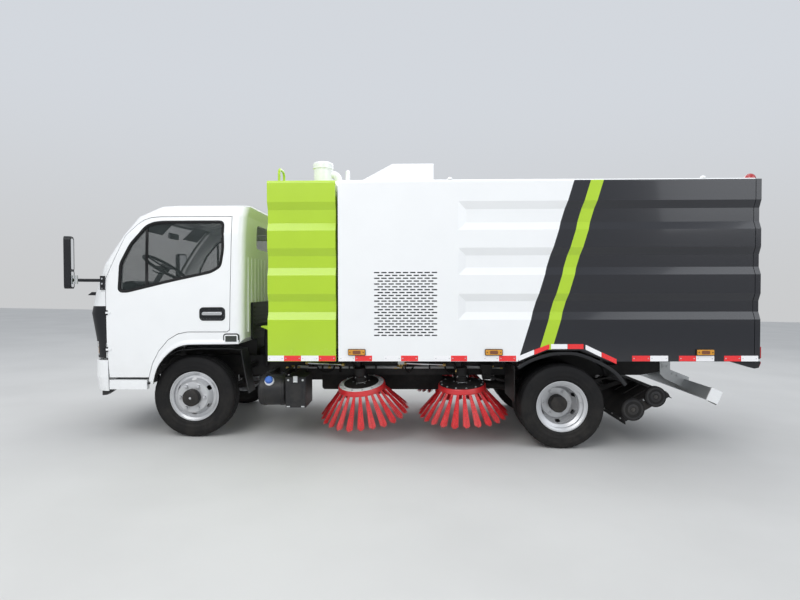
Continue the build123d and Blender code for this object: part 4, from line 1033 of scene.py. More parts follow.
def shifted(points, distance):
    # The closed outline moved outward by a distance
    area = sum(a[0] * b[1] - b[0] * a[1] for a, b in zip(points, points[1:] + points[:1]))
    way = 1 if area > 0 else -1
    moved = []
    count = len(points)
    for i in range(count):
        before, here, after = (Vector(points[j % count]) for j in (i - 1, i, i + 1))
        first, second = (here - before), (after - here)
        if first.length < 1e-6 or second.length < 1e-6:
            continue
        normal = (Vector((first.y, -first.x)).normalized() + Vector((second.y, -second.x)).normalized())
        moved.append(tuple(here + normal.normalized() * distance * way))
    return moved


def loopsAlong(bm, line, section, at):
    # One loop of vertices for each (sideways from the outline, proud of the skin) of the section
    return [[bm.verts.new(at(u, v, proud)) for u, v in shifted(line, spread)] for spread, proud in section]


def sweepClosed(bm, line, section, at):
    # A rubber or trim profile laid along a closed outline
    bridge(bm, loopsAlong(bm, line, section, at))


def sweepOpen(bm, line, section, at):
    # The same along an open line, closed at its ends
    rows = []
    for i, here in enumerate(line):
        before, after = line[max(i - 1, 0)], line[min(i + 1, len(line) - 1)]
        run = Vector((after[0] - before[0], after[1] - before[1])).normalized()
        rows.append([bm.verts.new(at(here[0] + run.y * spread, here[1] - run.x * spread, proud))
                     for spread, proud in section])
    bm.faces.new(rows[0])
    bm.faces.new(list(reversed(rows[-1])))
    bridge(bm, rows)


sealLook = {"section": [(-12, -11), (-11, -2), (-5, 2.5), (6, 3.5), (13, 2.5), (15, 0.3), (15, -2)],
            "corner": 34, "guideX": (-395, -371), "guideHeights": ((1372, 1640), (1640, 1925))}
windowRound = roundCorners(windowLine, sealLook["corner"])
for side, out in sides.items():
    seal = bmesh.new()
    sweepClosed(seal, windowRound, sealLook["section"], onCabSide(out))
    makePiece(f"windowSeal_{side}", seal, f"door_{side}", "hoseRubber", smooth=50)
    # Vertical guide between the vent light and the sliding glass
    guide = bmesh.new()
    for z0, z1 in sealLook["guideHeights"]:
        low, high = cabHalfWidth(z0), cabHalfWidth(z1)
        addPrism(guide, [(out * (low - 13), z0), (out * (high - 13), z1), (out * (high - 5), z1),
                         (out * (low - 5), z0)], "x", *sealLook["guideX"])
    makePiece(f"windowGuide_{side}", guide, f"door_{side}", "hoseRubber")

handleLook = {"x": (96, 324), "z": (1070, 1187), "lever": (122, 300, 1118, 1146), "lockZ": 1160,
              "rim": [(2, -1), (1, 4), (-6, 6), (-13, 4), (-17, -1.5)],
              "bowl": [(0, 0.6), (-18, 0.4), (-34, 0.4)]}
for side, out in sides.items():
    bowl = bmesh.new()
    outer = roundedOutline(*handleLook["x"], *handleLook["z"], 34, 8)
    sweepClosed(bowl, outer, handleLook["rim"], onCabSide(out))
    loops = loopsAlong(bowl, shifted(outer, -16), handleLook["bowl"], onCabSide(out))
    bridge(bowl, loops)
    bowl.faces.new(loops[-1])
    makePiece(f"handleBowl_{side}", bowl, f"door_{side}", "blackPlastic", smooth=50)
    lever = bmesh.new()
    x0, x1, z0, z1 = handleLook["lever"]
    face = cabHalfWidth(1130)
    addPrism(lever, roundedOutline(x0, x1, z0, z1, 12, 5), "y", out * (face + 5), out * (face + 17))
    lockPlace = (x1 - 2, out * face, handleLook["lockZ"])
    addLathe(lever, [(15, 6), (15, 15), (12, 18), (0.1, 18)], "y", lockPlace, 24)
    makePiece(f"handleLever_{side}", lever, f"door_{side}", "chrome", bevel=3)
print("windows and handles made")

# Side repeater lamp behind the door
repeaterLook = {"x": (319, 439), "z": (872, 943), "back": (934, 942), "lens": (938, 951),
                "rim": [(1, -1), (0, 9), (-4, 11), (-9, 9), (-11, 2)]}
for side, out in sides.items():
    rim, lens = bmesh.new(), bmesh.new()
    edge = roundedOutline(*repeaterLook["x"], *repeaterLook["z"], 15, 6)
    sweepClosed(rim, edge, repeaterLook["rim"], onCabSide(out))
    addPrism(rim, shifted(edge, 12), "y", *span(out, *repeaterLook["back"]), 1)
    makePiece(f"repeaterRim_{side}", rim, "cab", ["whitePaint", "blackPlastic"], smooth=50)
    addPrism(lens, shifted(edge, -9), "y", *(out * y for y in repeaterLook["lens"]))
    makePiece(f"repeaterLens_{side}", lens, "cab", "smokeLens", bevel=2)

# Cab: arch lips, screen rubber, wipers and the small lamps
archLine = [(446, 864), (316, 862), (60, 860), (-13, 858), (-58, 851), (-100, 838), (-144, 815),
            (-186, 783), (-232, 737), (-274, 684), (-300, 634), (-318, 583), (-333, 520)]
archLook = {"Lip": ("whitePaint", [(-4, -3), (-4, 5), (0, 8), (7, 9), (16, 6), (34, 1.5), (40, -1)]),
            "Rubber": ("hoseRubber", [(-11, -30), (-11, 5), (-4, 7), (-3, -30)])}
for side, out in sides.items():
    for part, (finish, section) in archLook.items():
        trim = bmesh.new()
        sweepOpen(trim, archLine, section, onCabSide(out))
        makePiece(f"arch{part}_{side}", trim, "cab", finish, smooth=50)


def splitEdges(points, longest):
    # Adds points so that no edge is longer than the given length
    result = []
    for i, here in enumerate(points):
        after = points[(i + 1) % len(points)]
        pieces = max(1, int(math.hypot(after[0] - here[0], after[1] - here[1]) / longest))
        for k in range(pieces):
            t = k / pieces
            result.append((here[0] + (after[0] - here[0]) * t, here[1] + (after[1] - here[1]) * t))
    return result


screenLine = splitEdges(roundCorners([(-838, 1335), (838, 1335), (800, 2035), (-800, 2035)], 46), 60)
screenSeal = bmesh.new()
sweepClosed(screenSeal, screenLine, [(-15, -12), (-13, -3), (-7, 3), (5, 4), (11, 2.5), (13, -1)], onCabFront)
makePiece("screenSeal", screenSeal, "cab", "hoseRubber", smooth=50)

wiperLook = {"pivots": (-560, 60), "pivotZ": 1318, "reach": 560,
             # rise along the reach, start above the pivot, proud of the screen, radius, sides,
             # shares of the reach
             "arm": (70, 0, 10, 5, 8, (0, 0.15, 0.3, 0.45, 0.6)),
             "blade": (94, 8, 5, 4.5, 6, (0.12, 0.3, 0.5, 0.7, 0.9, 1.06))}
wipers = bmesh.new()
for pivotY in wiperLook["pivots"]:
    pivotZ = wiperLook["pivotZ"]
    foot = Vector((cabFront(pivotY, pivotZ) + 2, pivotY, pivotZ))
    addRod(wipers, foot, foot + Vector((-14, 0, 3)), 13, 14)
    for rise, start, proud, radius, facets, shares in (wiperLook["arm"], wiperLook["blade"]):
        path = [onCabFront(pivotY + t * wiperLook["reach"], pivotZ + start + t * rise, proud) for t in shares]
        addTube(wipers, path, radius, facets)
makePiece("wipers", wipers, "cab", "blackPlastic")

# Head lamp bowls and bulbs inside the clear lamp bodies, blinkers outside them
lampLook = {"bowls": ((672, 820, 50), (790, 820, 46)), "blinkerY": (868, 902), "blinkerZ": (772, 870)}
bowls, bulbs, blinkers = bmesh.new(), bmesh.new(), bmesh.new()
for out in sides.values():
    for y, z, radius in lampLook["bowls"]:
        centre = (cabFront(y, z) + 5, out * y, z)
        addLathe(bowls, [(radius, 0), (radius - 4, 0), (radius * 0.8, 11), (radius * 0.45, 22), (8, 26),
                         (8, 28), (radius * 0.5, 25), (radius, 5), (radius, 0)], "x", centre, 32)
        addLathe(bulbs, [(0.1, 8), (9, 11), (11, 18), (9, 25), (0.1, 26)], "x", centre, 16)
    x = cabFront(884, 820) + 16
    addBox(blinkers, x, x + 14, *(out * y for y in lampLook["blinkerY"]), *lampLook["blinkerZ"])
makePiece("lampBowls", bowls, "cab", "chrome")
makePiece("lampBulbs", bulbs, "cab", "whiteLens")
makePiece("lampBlinkers", blinkers, "cab", "amberLens", bevel=3)

# Fog lamps in the bumper's holes, a blank plate between them
fogLook = {"y": 660, "z": 560, "bumperFront": -1012, "bumperRound": 2833, "recess": 9}
fogX = (fogLook["bumperFront"] + fogLook["bumperRound"]
        - math.sqrt(fogLook["bumperRound"] ** 2 - fogLook["y"] ** 2) + fogLook["recess"])
fogs, fogRims, plate = bmesh.new(), bmesh.new(), bmesh.new()
for out in sides.values():
    centre = (fogX, out * fogLook["y"], fogLook["z"])
    addLathe(fogs, [(0.1, 2), (28, 5), (36, 11), (36, 20), (0.1, 20)], "x", centre, 28)
    addLathe(fogRims, [(43.5, 3), (40, 0), (36, 4), (36, 30), (43.5, 30), (43.5, 3)], "x", centre, 32)
addBox(plate, -1019, -1015.5, -220, 220, 590, 700)
for y in (-150, 150):
    addBox(plate, -1016, -985, y - 12, y + 12, 612, 636, 1)
    addBolt(plate, (-1019, y, 624), (-1, 0, 0), 12, 5, 1)
makePiece("fogLenses", fogs, "cab", "whiteLens")
makePiece("fogRims", fogRims, "cab", "blackPlastic")
makePiece("frontPlate", plate, "cab", ["blankPlate", "zincSteel"])

# Mirror faces: a flat one above and a wide-angle one below, turned toward the driver
mirrorLook = {"middle": (-940, 1160, 1578), "turn": -20, "depth": 25.2, "faces": ((-58, 205), (-208, -76))}
for side, out in sides.items():
    middleX, middleY, middleZ = mirrorLook["middle"]
    place = (Matrix.Translation((middleX, out * middleY, middleZ))
             @ Matrix.Rotation(math.radians(out * mirrorLook["turn"]), 4, "Z"))
    depth = mirrorLook["depth"]
    faces, rims = bmesh.new(), bmesh.new()
    for z0, z1 in mirrorLook["faces"]:
        addPrism(faces, roundedOutline(-56, 56, z0, z1, 18), "x", depth, depth + 1.6)
        outer = roundedOutline(-62, 62, z0 - 6, z1 + 6, 22)
        inner = shifted(outer, -7)
        bridge(rims, [[rims.verts.new((depth + proud, y, z)) for y, z in loop]
                      for loop, proud in ((outer, -0.4), (outer, 3.4), (inner, 3.4), (inner, -0.4))])
    for bm in (faces, rims):
        bmesh.ops.transform(bm, matrix=place, verts=bm.verts)
    makePiece(f"mirrorFace_{side}", faces, "cab", "mirrorFace")
    makePiece(f"mirrorRim_{side}", rims, "cab", "blackPlastic")
    bracket = bmesh.new()
    for z in (1360, 1400, 1445):
        addRod(bracket, (-772, out * 946, z), (-772, out * 957, z), 8, 12)
    addRod(bracket, (-905, out * 1120, 1470), (-905, out * 1120, 1395), 16, 16)
    makePiece(f"mirrorBracket_{side}", bracket, "cab", "chrome")
print("cab trim made")

# Cab inside: padded seats with head rests, belts, instruments, levers and sun visors
seatLook = {"rows": (-520, 420),
            # cushion and its raised middle: front, rear, low, high, half width
            "cushions": ((-148, 236, 984, 1142, 238), (-120, 180, 1128, 1156, 150)),
            # backrest and its raised middle: foot x, z, top x, z, thickness, half width
            "backs": ((196, 1090, 322, 1588, 100, 234), (176, 1180, 270, 1520, 40, 140))}
for number, y in enumerate(seatLook["rows"]):
    seat = bmesh.new()
    for x0, x1, z0, z1, half in seatLook["cushions"]:
        addPrism(seat, [(x0, z0), (x1, z0), (x1, z1 - 20), (x0 + 20, z1), (x0, z1 - 26)], "y",
                 y - half, y + half)
    for x0, z0, x1, z1, thick, half in seatLook["backs"]:
        addPrism(seat, [(x0, z0), (x0 + thick, z0 - 16), (x1 + thick - 20, z1 - 6), (x1 - 10, z1)], "y",
                 y - half, y + half)
    addPrism(seat, [(322, 1600), (398, 1592), (424, 1752), (360, 1770)], "y", y - 130, y + 130)
    piece = makePiece(f"seatPads_{number}", seat, "cab", "seatCloth", bevel=22)
    if number == 0:
        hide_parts("seats")
    stays = bmesh.new()
    for way in (-1, 1):
        addRod(stays, (362, y + way * 60, 1560), (378, y + way * 60, 1640), 7, 10)
    addBox(stays, -110, 250, y - 215, y + 215, 972, 986)
    makePiece(f"seatStays_{number}", stays, "cab", "zincSteel")

belts = bmesh.new()
for y, way in zip(seatLook["rows"], (-1, 1)):
    path = [(330, y + way * 250, 1690), (235, y + way * 180, 1560), (168, y + way * 60, 1380),
            (120, y - way * 100, 1210), (90, y - way * 235, 1150)]
    for a, b in zip(path, path[1:]):
        corners = []
        for point in (a, b):
            for shift in (-23, 23):
                corners.append(Vector(point) + Vector((-shift * 0.35, shift, 0)))
        low = [belts.verts.new(c) for c in corners]
        high = [belts.verts.new(c + Vector((-2, 0, 1))) for c in corners]
        for quad in ((low[0], low[1], low[3], low[2]), (high[0], high[2], high[3], high[1]),
                     (low[0], low[2], high[2], high[0]), (low[1], high[1], high[3], low[3])):
            belts.faces.new(quad)
    addBox(belts, 318, 340, y + way * 232, y + way * 268, 1676, 1712)
makePiece("seatBelts", belts, "cab", "hoseRubber")

dashTop = bmesh.new()
addPrism(dashTop, [(-812, 1284), (-790, 1340), (-742, 1392), (-684, 1424), (-622, 1430), (-574, 1404),
                   (-566, 1262)], "y", -720, -270)
addPrism(dashTop, [(-1000, 1296), (-960, 1326), (-700, 1322), (-640, 1290)], "y", -800, 800)
addBox(dashTop, -596, -560, -200, 160, 1130, 1262)
addBox(dashTop, -380, -60, -150, 60, 981, 1040)
makePiece("dashCover", dashTop, "cab", "blackPlastic", bevel=9)
dials = bmesh.new()
for y, radius in ((-560, 44), (-430, 44), (-495, 22)):
    addLathe(dials, [(0.1, 3), (radius, 3), (radius + 4, 6), (radius + 4, 0), (0.1, 0)], "x",
             (-566, y, 1330), 28)
for y in (-140, -60, 20, 100):
    addBox(dials, -561, -556, y, y + 48, 1196, 1232)
makePiece("dashDials", dials, "cab", "greyPlastic")
levers = bmesh.new()
addTube(levers, smoothPath([(-250, -60, 1040), (-262, -64, 1180), (-240, -70, 1290)]), 9)
addLathe(levers, [(0.1, 0), (16, 4), (24, 24), (20, 42), (0.1, 50)], "z", (-240, -70, 1284), 20)
addTube(levers, smoothPath([(-160, 20, 1040), (-130, 24, 1110), (-60, 30, 1150)]), 11)
for way in (-1, 1):
    addTube(levers, smoothPath([(-440, -480, 1500), (-460, -480 + way * 90, 1512),
                                (-455, -480 + way * 170, 1530)]), 6)
makePiece("cabLevers", levers, "cab", "blackPlastic")
visors = bmesh.new()
for y in (-480, 420):
    addPrism(visors, [(-400, 2018), (-396, 2030), (-520, 1900), (-532, 1896)], "y", y - 190, y + 190)
addBox(visors, -545, -525, -110, 110, 1880, 1940)
makePiece("sunVisors", visors, "cab", "greyPlastic", bevel=4)
print("cab inside made")

# Tail lamps under the hopper's corners: a housing with three lens chambers in its rear
tailLook = {"inner": 910, "outer": 1020, "chambers": ((914, 940), (944, 970), (974, 1016)),
            "housing": [(4729, 717.5), (4933, 656), (4969, 662.5), (4983, 699), (4983, 717.5)],
            "lens": [(4967, 665), (4974, 665), (4989, 700), (4989, 716), (4982, 716), (4982, 700)]}
tailHousing, tailLenses = bmesh.new(), bmesh.new()
for out in sides.values():
    addPrism(tailHousing, tailLook["housing"], "y", *span(out, tailLook["inner"], tailLook["outer"]))
    for index, chamber in enumerate(tailLook["chambers"]):
        addPrism(tailLenses, tailLook["lens"], "y", *span(out, *chamber), index)
piece = makePiece("tailHousings", tailHousing, "hopper", "blackPlastic", "black_plastic", bevel=2)
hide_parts("tail_lamps")
makePiece("tailLenses", tailLenses, "hopper", ["whiteLens", "amberLens", "redLens"], bevel=1.5)

# Rear face of the gate: reflectors, tape, blank plate, latches
gateLook = {"face": 4973, "tapeHalf": 960, "tapeStep": 160, "tapeLow": 746, "tapeHigh": 791}
reflectors, gateTape, gatePlate, latches = bmesh.new(), bmesh.new(), bmesh.new(), bmesh.new()
face = gateLook["face"]
for out in sides.values():
    addPrism(reflectors, roundedOutline(*span(out, 985, 1028), 744, 846, 6), "x", face - 1, face + 11)
    addBox(latches, face - 0.5, face + 4, out * 925, out * 975, 800, 900)
    addRod(latches, (face + 8, out * 950, 808), (face + 8, out * 950, 880), 5, 12)
    addBox(latches, face + 3, face + 14, out * 935, out * 965, 842, 858)
    for z in (812, 888):
        addBolt(latches, (face + 4, out * 965, z), (1, 0, 0), 11, 5)
for index in range(12):
    y = -gateLook["tapeHalf"] + index * gateLook["tapeStep"]
    addBox(gateTape, face - 0.3, face + 1.1, y + 2, y + gateLook["tapeStep"] - 2, gateLook["tapeLow"],
           gateLook["tapeHigh"], index % 2)
addPrism(gatePlate, roundedOutline(-220, 220, 812, 952, 12), "x", face - 0.5, face + 2.5)
addBox(gatePlate, face - 0.5, face + 13, -70, 70, 962, 984, 1)
addBox(gatePlate, face + 2, face + 11, -50, 50, 957, 963, 2)
for y in (-170, 170):
    addBolt(gatePlate, (face + 2.5, y, 930), (1, 0, 0), 11, 5, 3)
makePiece("gateReflectors", reflectors, "tailgate", "redLens", bevel=2)
makePiece("gateTape", gateTape, "tailgate", ["tapeRed", "tapeWhite"])
makePiece("gatePlate", gatePlate, "tailgate", ["blankPlate", "blackPlastic", "whiteLens", "zincSteel"])
makePiece("gateLatches", latches, "tailgate", "zincSteel", bevel=1.5)
gateSeal = bmesh.new()
for edges in ((-998, -976, 765, 2250), (976, 998, 765, 2250), (-998, 998, 2250, 2272), (-998, 998, 745, 765)):
    addBox(gateSeal, 4922.5, 4926.8, *edges)
makePiece("gateSeal", gateSeal, "hopper", "hoseRubber")
print("rear end made")

# Left tank: filler cap, and the tool box's lid, latch and hinges
capLook = {"foot": (705, -893, 525), "axis": (0, -53, 45), "radius": 33}
capAxis = Vector(capLook["axis"]).normalized()
capFoot = Vector(capLook["foot"])
cap, capRing = bmesh.new(), bmesh.new()
addRod(capRing, capFoot - capAxis * 16, capFoot - capAxis * 1, 42, 32)
addRod(capRing, capFoot - capAxis * 1, capFoot + capAxis * 5, 42, 32, endRadius=36)
addRod(cap, capFoot + capAxis * 2, capFoot + capAxis * 26, capLook["radius"], 32)
addRod(cap, capFoot + capAxis * 26, capFoot + capAxis * 33, capLook["radius"], 32, endRadius=24)
capSide = capAxis.orthogonal().normalized()
for index in range(14):
    ray = Matrix.Rotation(2 * math.pi * index / 14, 3, capAxis) @ capSide
    spot = capFoot + ray * (capLook["radius"] + 0.6)
    addRod(cap, spot + capAxis * 4, spot + capAxis * 25, 2.6, 6)
makePiece("fillerRing", capRing, "chassis", "whitePaint")
makePiece("fillerCap", cap, "chassis", "bluePlastic")
boxLook = {"x": (862, 1036), "z": (296, 554), "face": -925}
lid, lidSteel = bmesh.new(), bmesh.new()
face = boxLook["face"]
addPrism(lid, roundedOutline(*boxLook["x"], *boxLook["z"], 14), "y", face - 5, face + 0.5)
addPrism(lid, roundedOutline(890, 1008, 340, 500, 10), "y", face - 8, face - 5)
addBox(lidSteel, 930, 968, face - 13, face - 5, 516, 572)
addRod(lidSteel, (934, face - 15, 522), (964, face - 15, 522), 5, 10)
for x in (884, 1014):
    addRod(lidSteel, (x - 14, face - 7, 300), (x + 14, face - 7, 300), 6, 10)
    addBolt(lidSteel, (x, face - 5, 536), (0, -1, 0), 13, 6)
for x in (642, 796):
    addBolt(lidSteel, (x + 12, -842, 425), (0, -1, 0), 15, 8)
    addBox(lidSteel, x + 2, x + 22, -800, -764, 282, 300)
makePiece("toolBoxLid", lid, "chassis", "blackPlastic", bevel=2.5)
makePiece("toolBoxSteel", lidSteel, "chassis", "zincSteel")
fuelTrim = bmesh.new()
for x in (690, 930):
    addBox(fuelTrim, x, x + 34, 899.5, 903.5, 330, 610)
    addBox(fuelTrim, x, x + 34, 580, 880, 639.5, 643)
    addBolt(fuelTrim, (x + 17, 903.5, 600), (0, 1, 0), 14, 7)
addLathe(fuelTrim, [(0.1, 30), (40, 30), (46, 24), (46, 4), (44, 0), (0.1, 0)], "z", (960, 820, 662), 28)
makePiece("fuelTankTrim", fuelTrim, "chassis", "zincSteel")
print("tanks trimmed")

# Rear mudguards: a rolled lip along the outer edge, with bolts
guardLook = {"outer": 1010, "section": [(-0.5, -10), (-0.5, 1), (3, 5), (9, 7), (24, 7), (30, 4), (30, 1),
                                        (10, 1), (8, -10)],
             "points": ((2902, 672), (3020, 740), (3180, 790), (3300, 802), (3430, 792), (3600, 728),
                        (3750, 636), (3850, 520)),
             "bolts": ((2960, 700), (3260, 786), (3560, 732), (3790, 588))}
guardLine = [(point.x, point.y) for point in smoothPath([(x, z, 0) for x, z in guardLook["points"]], 5)]
guardLips = bmesh.new()
for out in sides.values():
    sweepOpen(guardLips, guardLine, guardLook["section"], onFlatSide(out, guardLook["outer"]))
    for x, z in guardLook["bolts"]:
        addBolt(guardLips, (x, out * (guardLook["outer"] + 6), z - 14), (0, out, 0), 11, 5)
makePiece("guardLips", guardLips, "chassis", "blackPlastic", smooth=50)

# Black edging along the body's wheel arch
archTrim = bmesh.new()
archEdge = [(2914, 718), (3157, 818), (3436, 818), (3690, 718)]
for out in sides.values():
    sweepOpen(archTrim, archEdge, [(-4, -3), (-4, 1.2), (3, 2.2), (6, 1.2), (6, -3)],
              onFlatSide(out, truck["bodyHalf"]))
makePiece("archTrim", archTrim, "hopper", "hoseRubber")

# Under-run guard: splice plates with bolts, and the black frame round each end of the beam
splices, beamFrames = bmesh.new(), bmesh.new()
for out in sides.values():
    addPrism(splices, [(4470, 566), (4490, 640), (4412, 640), (4412, 560)], "y", *span(out, 410, 414))
    for x, z in ((4430, 660), (4470, 660), (4430, 590), (4462, 590), (4520, 520), (4560, 500)):
        addBolt(splices, (x, out * 410, z), (0, out, 0), 17, 11)
    ends = [(4595, 378), (4612, 352), (4676, 320), (4700, 385), (4712, 432)]
    for (x0, z0), (x1, z1) in zip(ends, ends[1:]):
        addRod(beamFrames, (x0, out * 896, z0), (x1, out * 896, z1), 5, 8)
makePiece("guardSplices", splices, "chassis", "zincSteel")
makePiece("guardFrames", beamFrames, "chassis", "blackPlastic")
print("guards trimmed")

# Nozzle: caster caps, skirts, bolts and the suction collar, drawn level about its hinge
nozzlePlace = Matrix.Translation((4070, 0, 440)) @ Matrix.Rotation(math.radians(-30), 4, "Y")
nozzleLook = {"casters": {"front": (-195, -74, 100), "rear": (33, -74, 92)}, "wheelOut": 926, "half": 880}


def nozzlePiece(name, bm, body, finish, **options):
    bmesh.ops.transform(bm, matrix=nozzlePlace, verts=bm.verts)
    return makePiece(name, bm, body, finish, **options)


for name, (x, z, radius) in nozzleLook["casters"].items():
    caps = bmesh.new()
    for out in sides.values():
        centre = (x, out * nozzleLook["wheelOut"], z)
        inner, outer = radius * 0.72, radius * 0.88
        for profile, steps, index in (
                (((0.1, 9), (9, 9), (11, 6), (11, 3), (18, 3), (20, -0.5), (0.1, -0.5)), 20, 1),
                (((24, -0.5), (26, 2.5), (44, 2.5), (48, -0.5), (24, -0.5)), 36, 0),
                (((inner, -0.5), (radius * 0.74, 1.8), (radius * 0.86, 1.8), (outer, -0.5),
                  (inner, -0.5)), 44, 0)):
            addLathe(caps, outward(profile, out), "y", centre, steps, index)
    nozzlePiece(f"casterCaps_{name}", caps, f"nozzle_wheels_{name}", ["blackPlastic", "castIron"])
skirts, nozzleBolts, collar = bmesh.new(), bmesh.new(), bmesh.new()
half = nozzleLook["half"]
for skirt in ([(-306, -112), (-300, -112), (-300, -158), (-308, -172), (-313, -171), (-306, -156)],
              [(150, -112), (156, -112), (156, -156), (163, -171), (158, -172), (150, -158)]):
    addPrism(skirts, skirt, "y", -half, half)
for index in range(9):
    y = -half + 60 + index * 205
    addBolt(nozzleBolts, (-306, y, -124), (-1, 0, 0), 13, 7)
    addBolt(nozzleBolts, (156, y, -124), (1, 0, 0), 13, 7)
    addBox(nozzleBolts, -118, 66, y + 60, y + 68, -41, -30, 1)
for out in sides.values():
    for x in (-60, 20):
        addBolt(nozzleBolts, (x, out * (half + 0.5), -62), (0, out, 0), 13, 6)
addLathe(collar, [(88, -4), (96, -4), (96, 46), (104, 48), (104, 58), (96, 60), (88, 60), (88, -4)], "z",
         (-18, 0, -40), 48)
addLathe(collar, [(104, 0), (112, 0), (112, 8), (104, 8), (104, 0)], "z", (-18, 0, -42), 48)
nozzlePiece("nozzleSkirts", skirts, "nozzle", "hoseRubber")
nozzlePiece("nozzleBolts", nozzleBolts, "nozzle", ["zincSteel", "chassisBlack"])
nozzlePiece("suctionCollar", collar, "nozzle", "chassisBlack")
print("nozzle trimmed")

# Brush arms: motor housings, lift springs, hoses and their brass unions
armLook = {"pivotY": 490, "reach": 483, "hose": 8.5, "springAside": 78, "springZ": 640}


def armPoint(row, out, along, aside, z):
    x, y = brushLook["spots"][row][:2]
    run = Vector((armLook["reach"], y - armLook["pivotY"])).normalized()
    return (x - armLook["reach"] + run.x * along - run.y * aside,
            out * (armLook["pivotY"] + run.y * along + run.x * aside), z)


for row in brushLook["spots"]:
    for side, out in sides.items():
        def at(along, aside, z):
            return armPoint(row, out, along, aside, z)

        motor, hoses, unions, springs = (bmesh.new() for _ in range(4))
        addLathe(motor, [(52, 16), (54.5, 17), (54.5, 60), (58, 62), (58, 74), (54.5, 76), (54.5, 128),
                         (50, 136), (50, 20), (52, 16)], "z", (0, 0, 0), 36)
        for k in range(4):
            angle = math.pi / 4 + k * math.pi / 2
            addBolt(motor, (62 * math.cos(angle), 62 * math.sin(angle), 62), (0, 0, 1), 13, 14, 1)
        addLathe(motor, [(50, 60), (70, 60), (70, 68), (50, 68), (50, 60)], "z", (0, 0, 0), 36)
        bmesh.ops.transform(motor, matrix=brushHang(row), verts=motor.verts)
        if out < 0:
            flipSide(motor)
        for aside, z0, portZ in ((40, 692, 575), (20, 692, 548)):
            path = [at(70, aside - 34, z0 + 2), at(130, aside - 8, z0 + 4), at(220, aside + 4, z0 - 6),
                    at(330, aside + 8, z0 - 4), at(420, aside + 18, z0 - 26),
                    at(452, aside + 4, portZ + 34), at(462, aside - 2, portZ)]
            addTube(hoses, smoothPath(path, 6), armLook["hose"], 10)
            addRod(unions, at(466, aside - 2, portZ), at(480, 30, portZ), 11, 6)
            addRod(unions, at(462, aside - 2, portZ - 3), at(461, aside - 2, portZ + 22), 12, 6)
            addRod(unions, at(62, aside - 36, z0 + 2), at(84, aside - 30, z0 + 3), 12, 6)
        aside, z = armLook["springAside"], armLook["springZ"]
        addRod(springs, at(-14, aside, z), at(210, aside, z), 12, 16)
        addRod(springs, at(205, aside, z), at(352, aside, z), 6.5, 12)
        for along in (-22, 356):
            addRod(unions, at(along - 12, aside, z), at(along + 12, aside, z), 15, 14)
            addRod(springs, at(along, 28, z), at(along, aside + 6, z), 7, 10)
        arm = f"brush_arm_{row}_{side}"
        makePiece(f"brushMotor_{row}_{side}", motor, arm, ["chassisBlack", "zincSteel"])
        makePiece(f"armHoses_{row}_{side}", hoses, arm, "hoseRubber", smooth=60)
        makePiece(f"armUnions_{row}_{side}", unions, arm, "brass")
        makePiece(f"armSpring_{row}_{side}", springs, arm, "chrome")
print("brush arms dressed")

# Along the frame: steel tubes, looms, valve blocks and the hoses between them
lineLook = {"tubeRows": ((411, 574), (411, 590), (424, 582)), "looms": ((412, 716), (412, 740)),
            "x": (760, 2860), "valves": (1210, 1850, 2240),
            # each hose runs from a valve block to a place along the tubes
            "hoses": ((1210, 1060), (1850, 2004), (1210, 1300), (2240, 2420))}
tubes, looms, clamps, brassBits, valves = (bmesh.new() for _ in range(5))
x0, x1 = lineLook["x"]
for out in sides.values():
    for number, (y, z) in enumerate(lineLook["tubeRows"]):
        addRod(tubes, (x0 + number * 60, out * y, z), (x1 - number * 90, out * y, z), 6, 10)
        for x in (x0 + number * 60, 1180, 1830 + number * 24, x1 - number * 90):
            addRod(brassBits, (x - 14, out * y, z), (x + 14, out * y, z), 9.5, 6)
    for number, (y, z) in enumerate(lineLook["looms"]):
        wave = [(x0 + 40 + k * 150, out * (y + 2 * math.sin(k * 1.7)), z + 5 * math.sin(k * 2.1 + number))
                for k in range(14)]
        addTube(looms, smoothPath(wave, 4), 9, 8)
    for k in range(8):
        x = x0 + 90 + k * 262
        addBox(clamps, x - 9, x + 9, out * 400, out * 432, 562, 602)
        addBox(clamps, x - 12, x + 12, out * 400, out * 424, 704, 752)
    for x in lineLook["valves"]:
        addBox(valves, x, x + 86, out * 401, out * 452, 612, 672)
        for k in range(3):
            addRod(valves, (x + 18 + k * 25, out * 430, 670), (x + 18 + k * 25, out * 430, 694), 10, 14)
            addRod(brassBits, (x + 18 + k * 25, out * 430, 612), (x + 18 + k * 25, out * 430, 592), 9, 6)
    for x, far in lineLook["hoses"]:
        way = 1 if far > x else -1
        start = (x + 43 + way * 25, out * 432, 604)
        hose = [start, (start[0] + way * 12, out * 446, 560), ((start[0] + far) / 2, out * 458, 536),
                (far - way * 18, out * 440, 566), (far, out * 420, 584)]
        addTube(looms, smoothPath(hose, 7), 8, 9)
makePiece("frameTubes", tubes, "chassis", "zincSteel")
makePiece("frameLooms", looms, "chassis", "hoseRubber", smooth=60)
makePiece("frameClamps", clamps, "chassis", "chassisBlack")
makePiece("frameUnions", brassBits, "chassis", "brass")
makePiece("valveBlocks", valves, "chassis", "zincSteel", bevel=2)

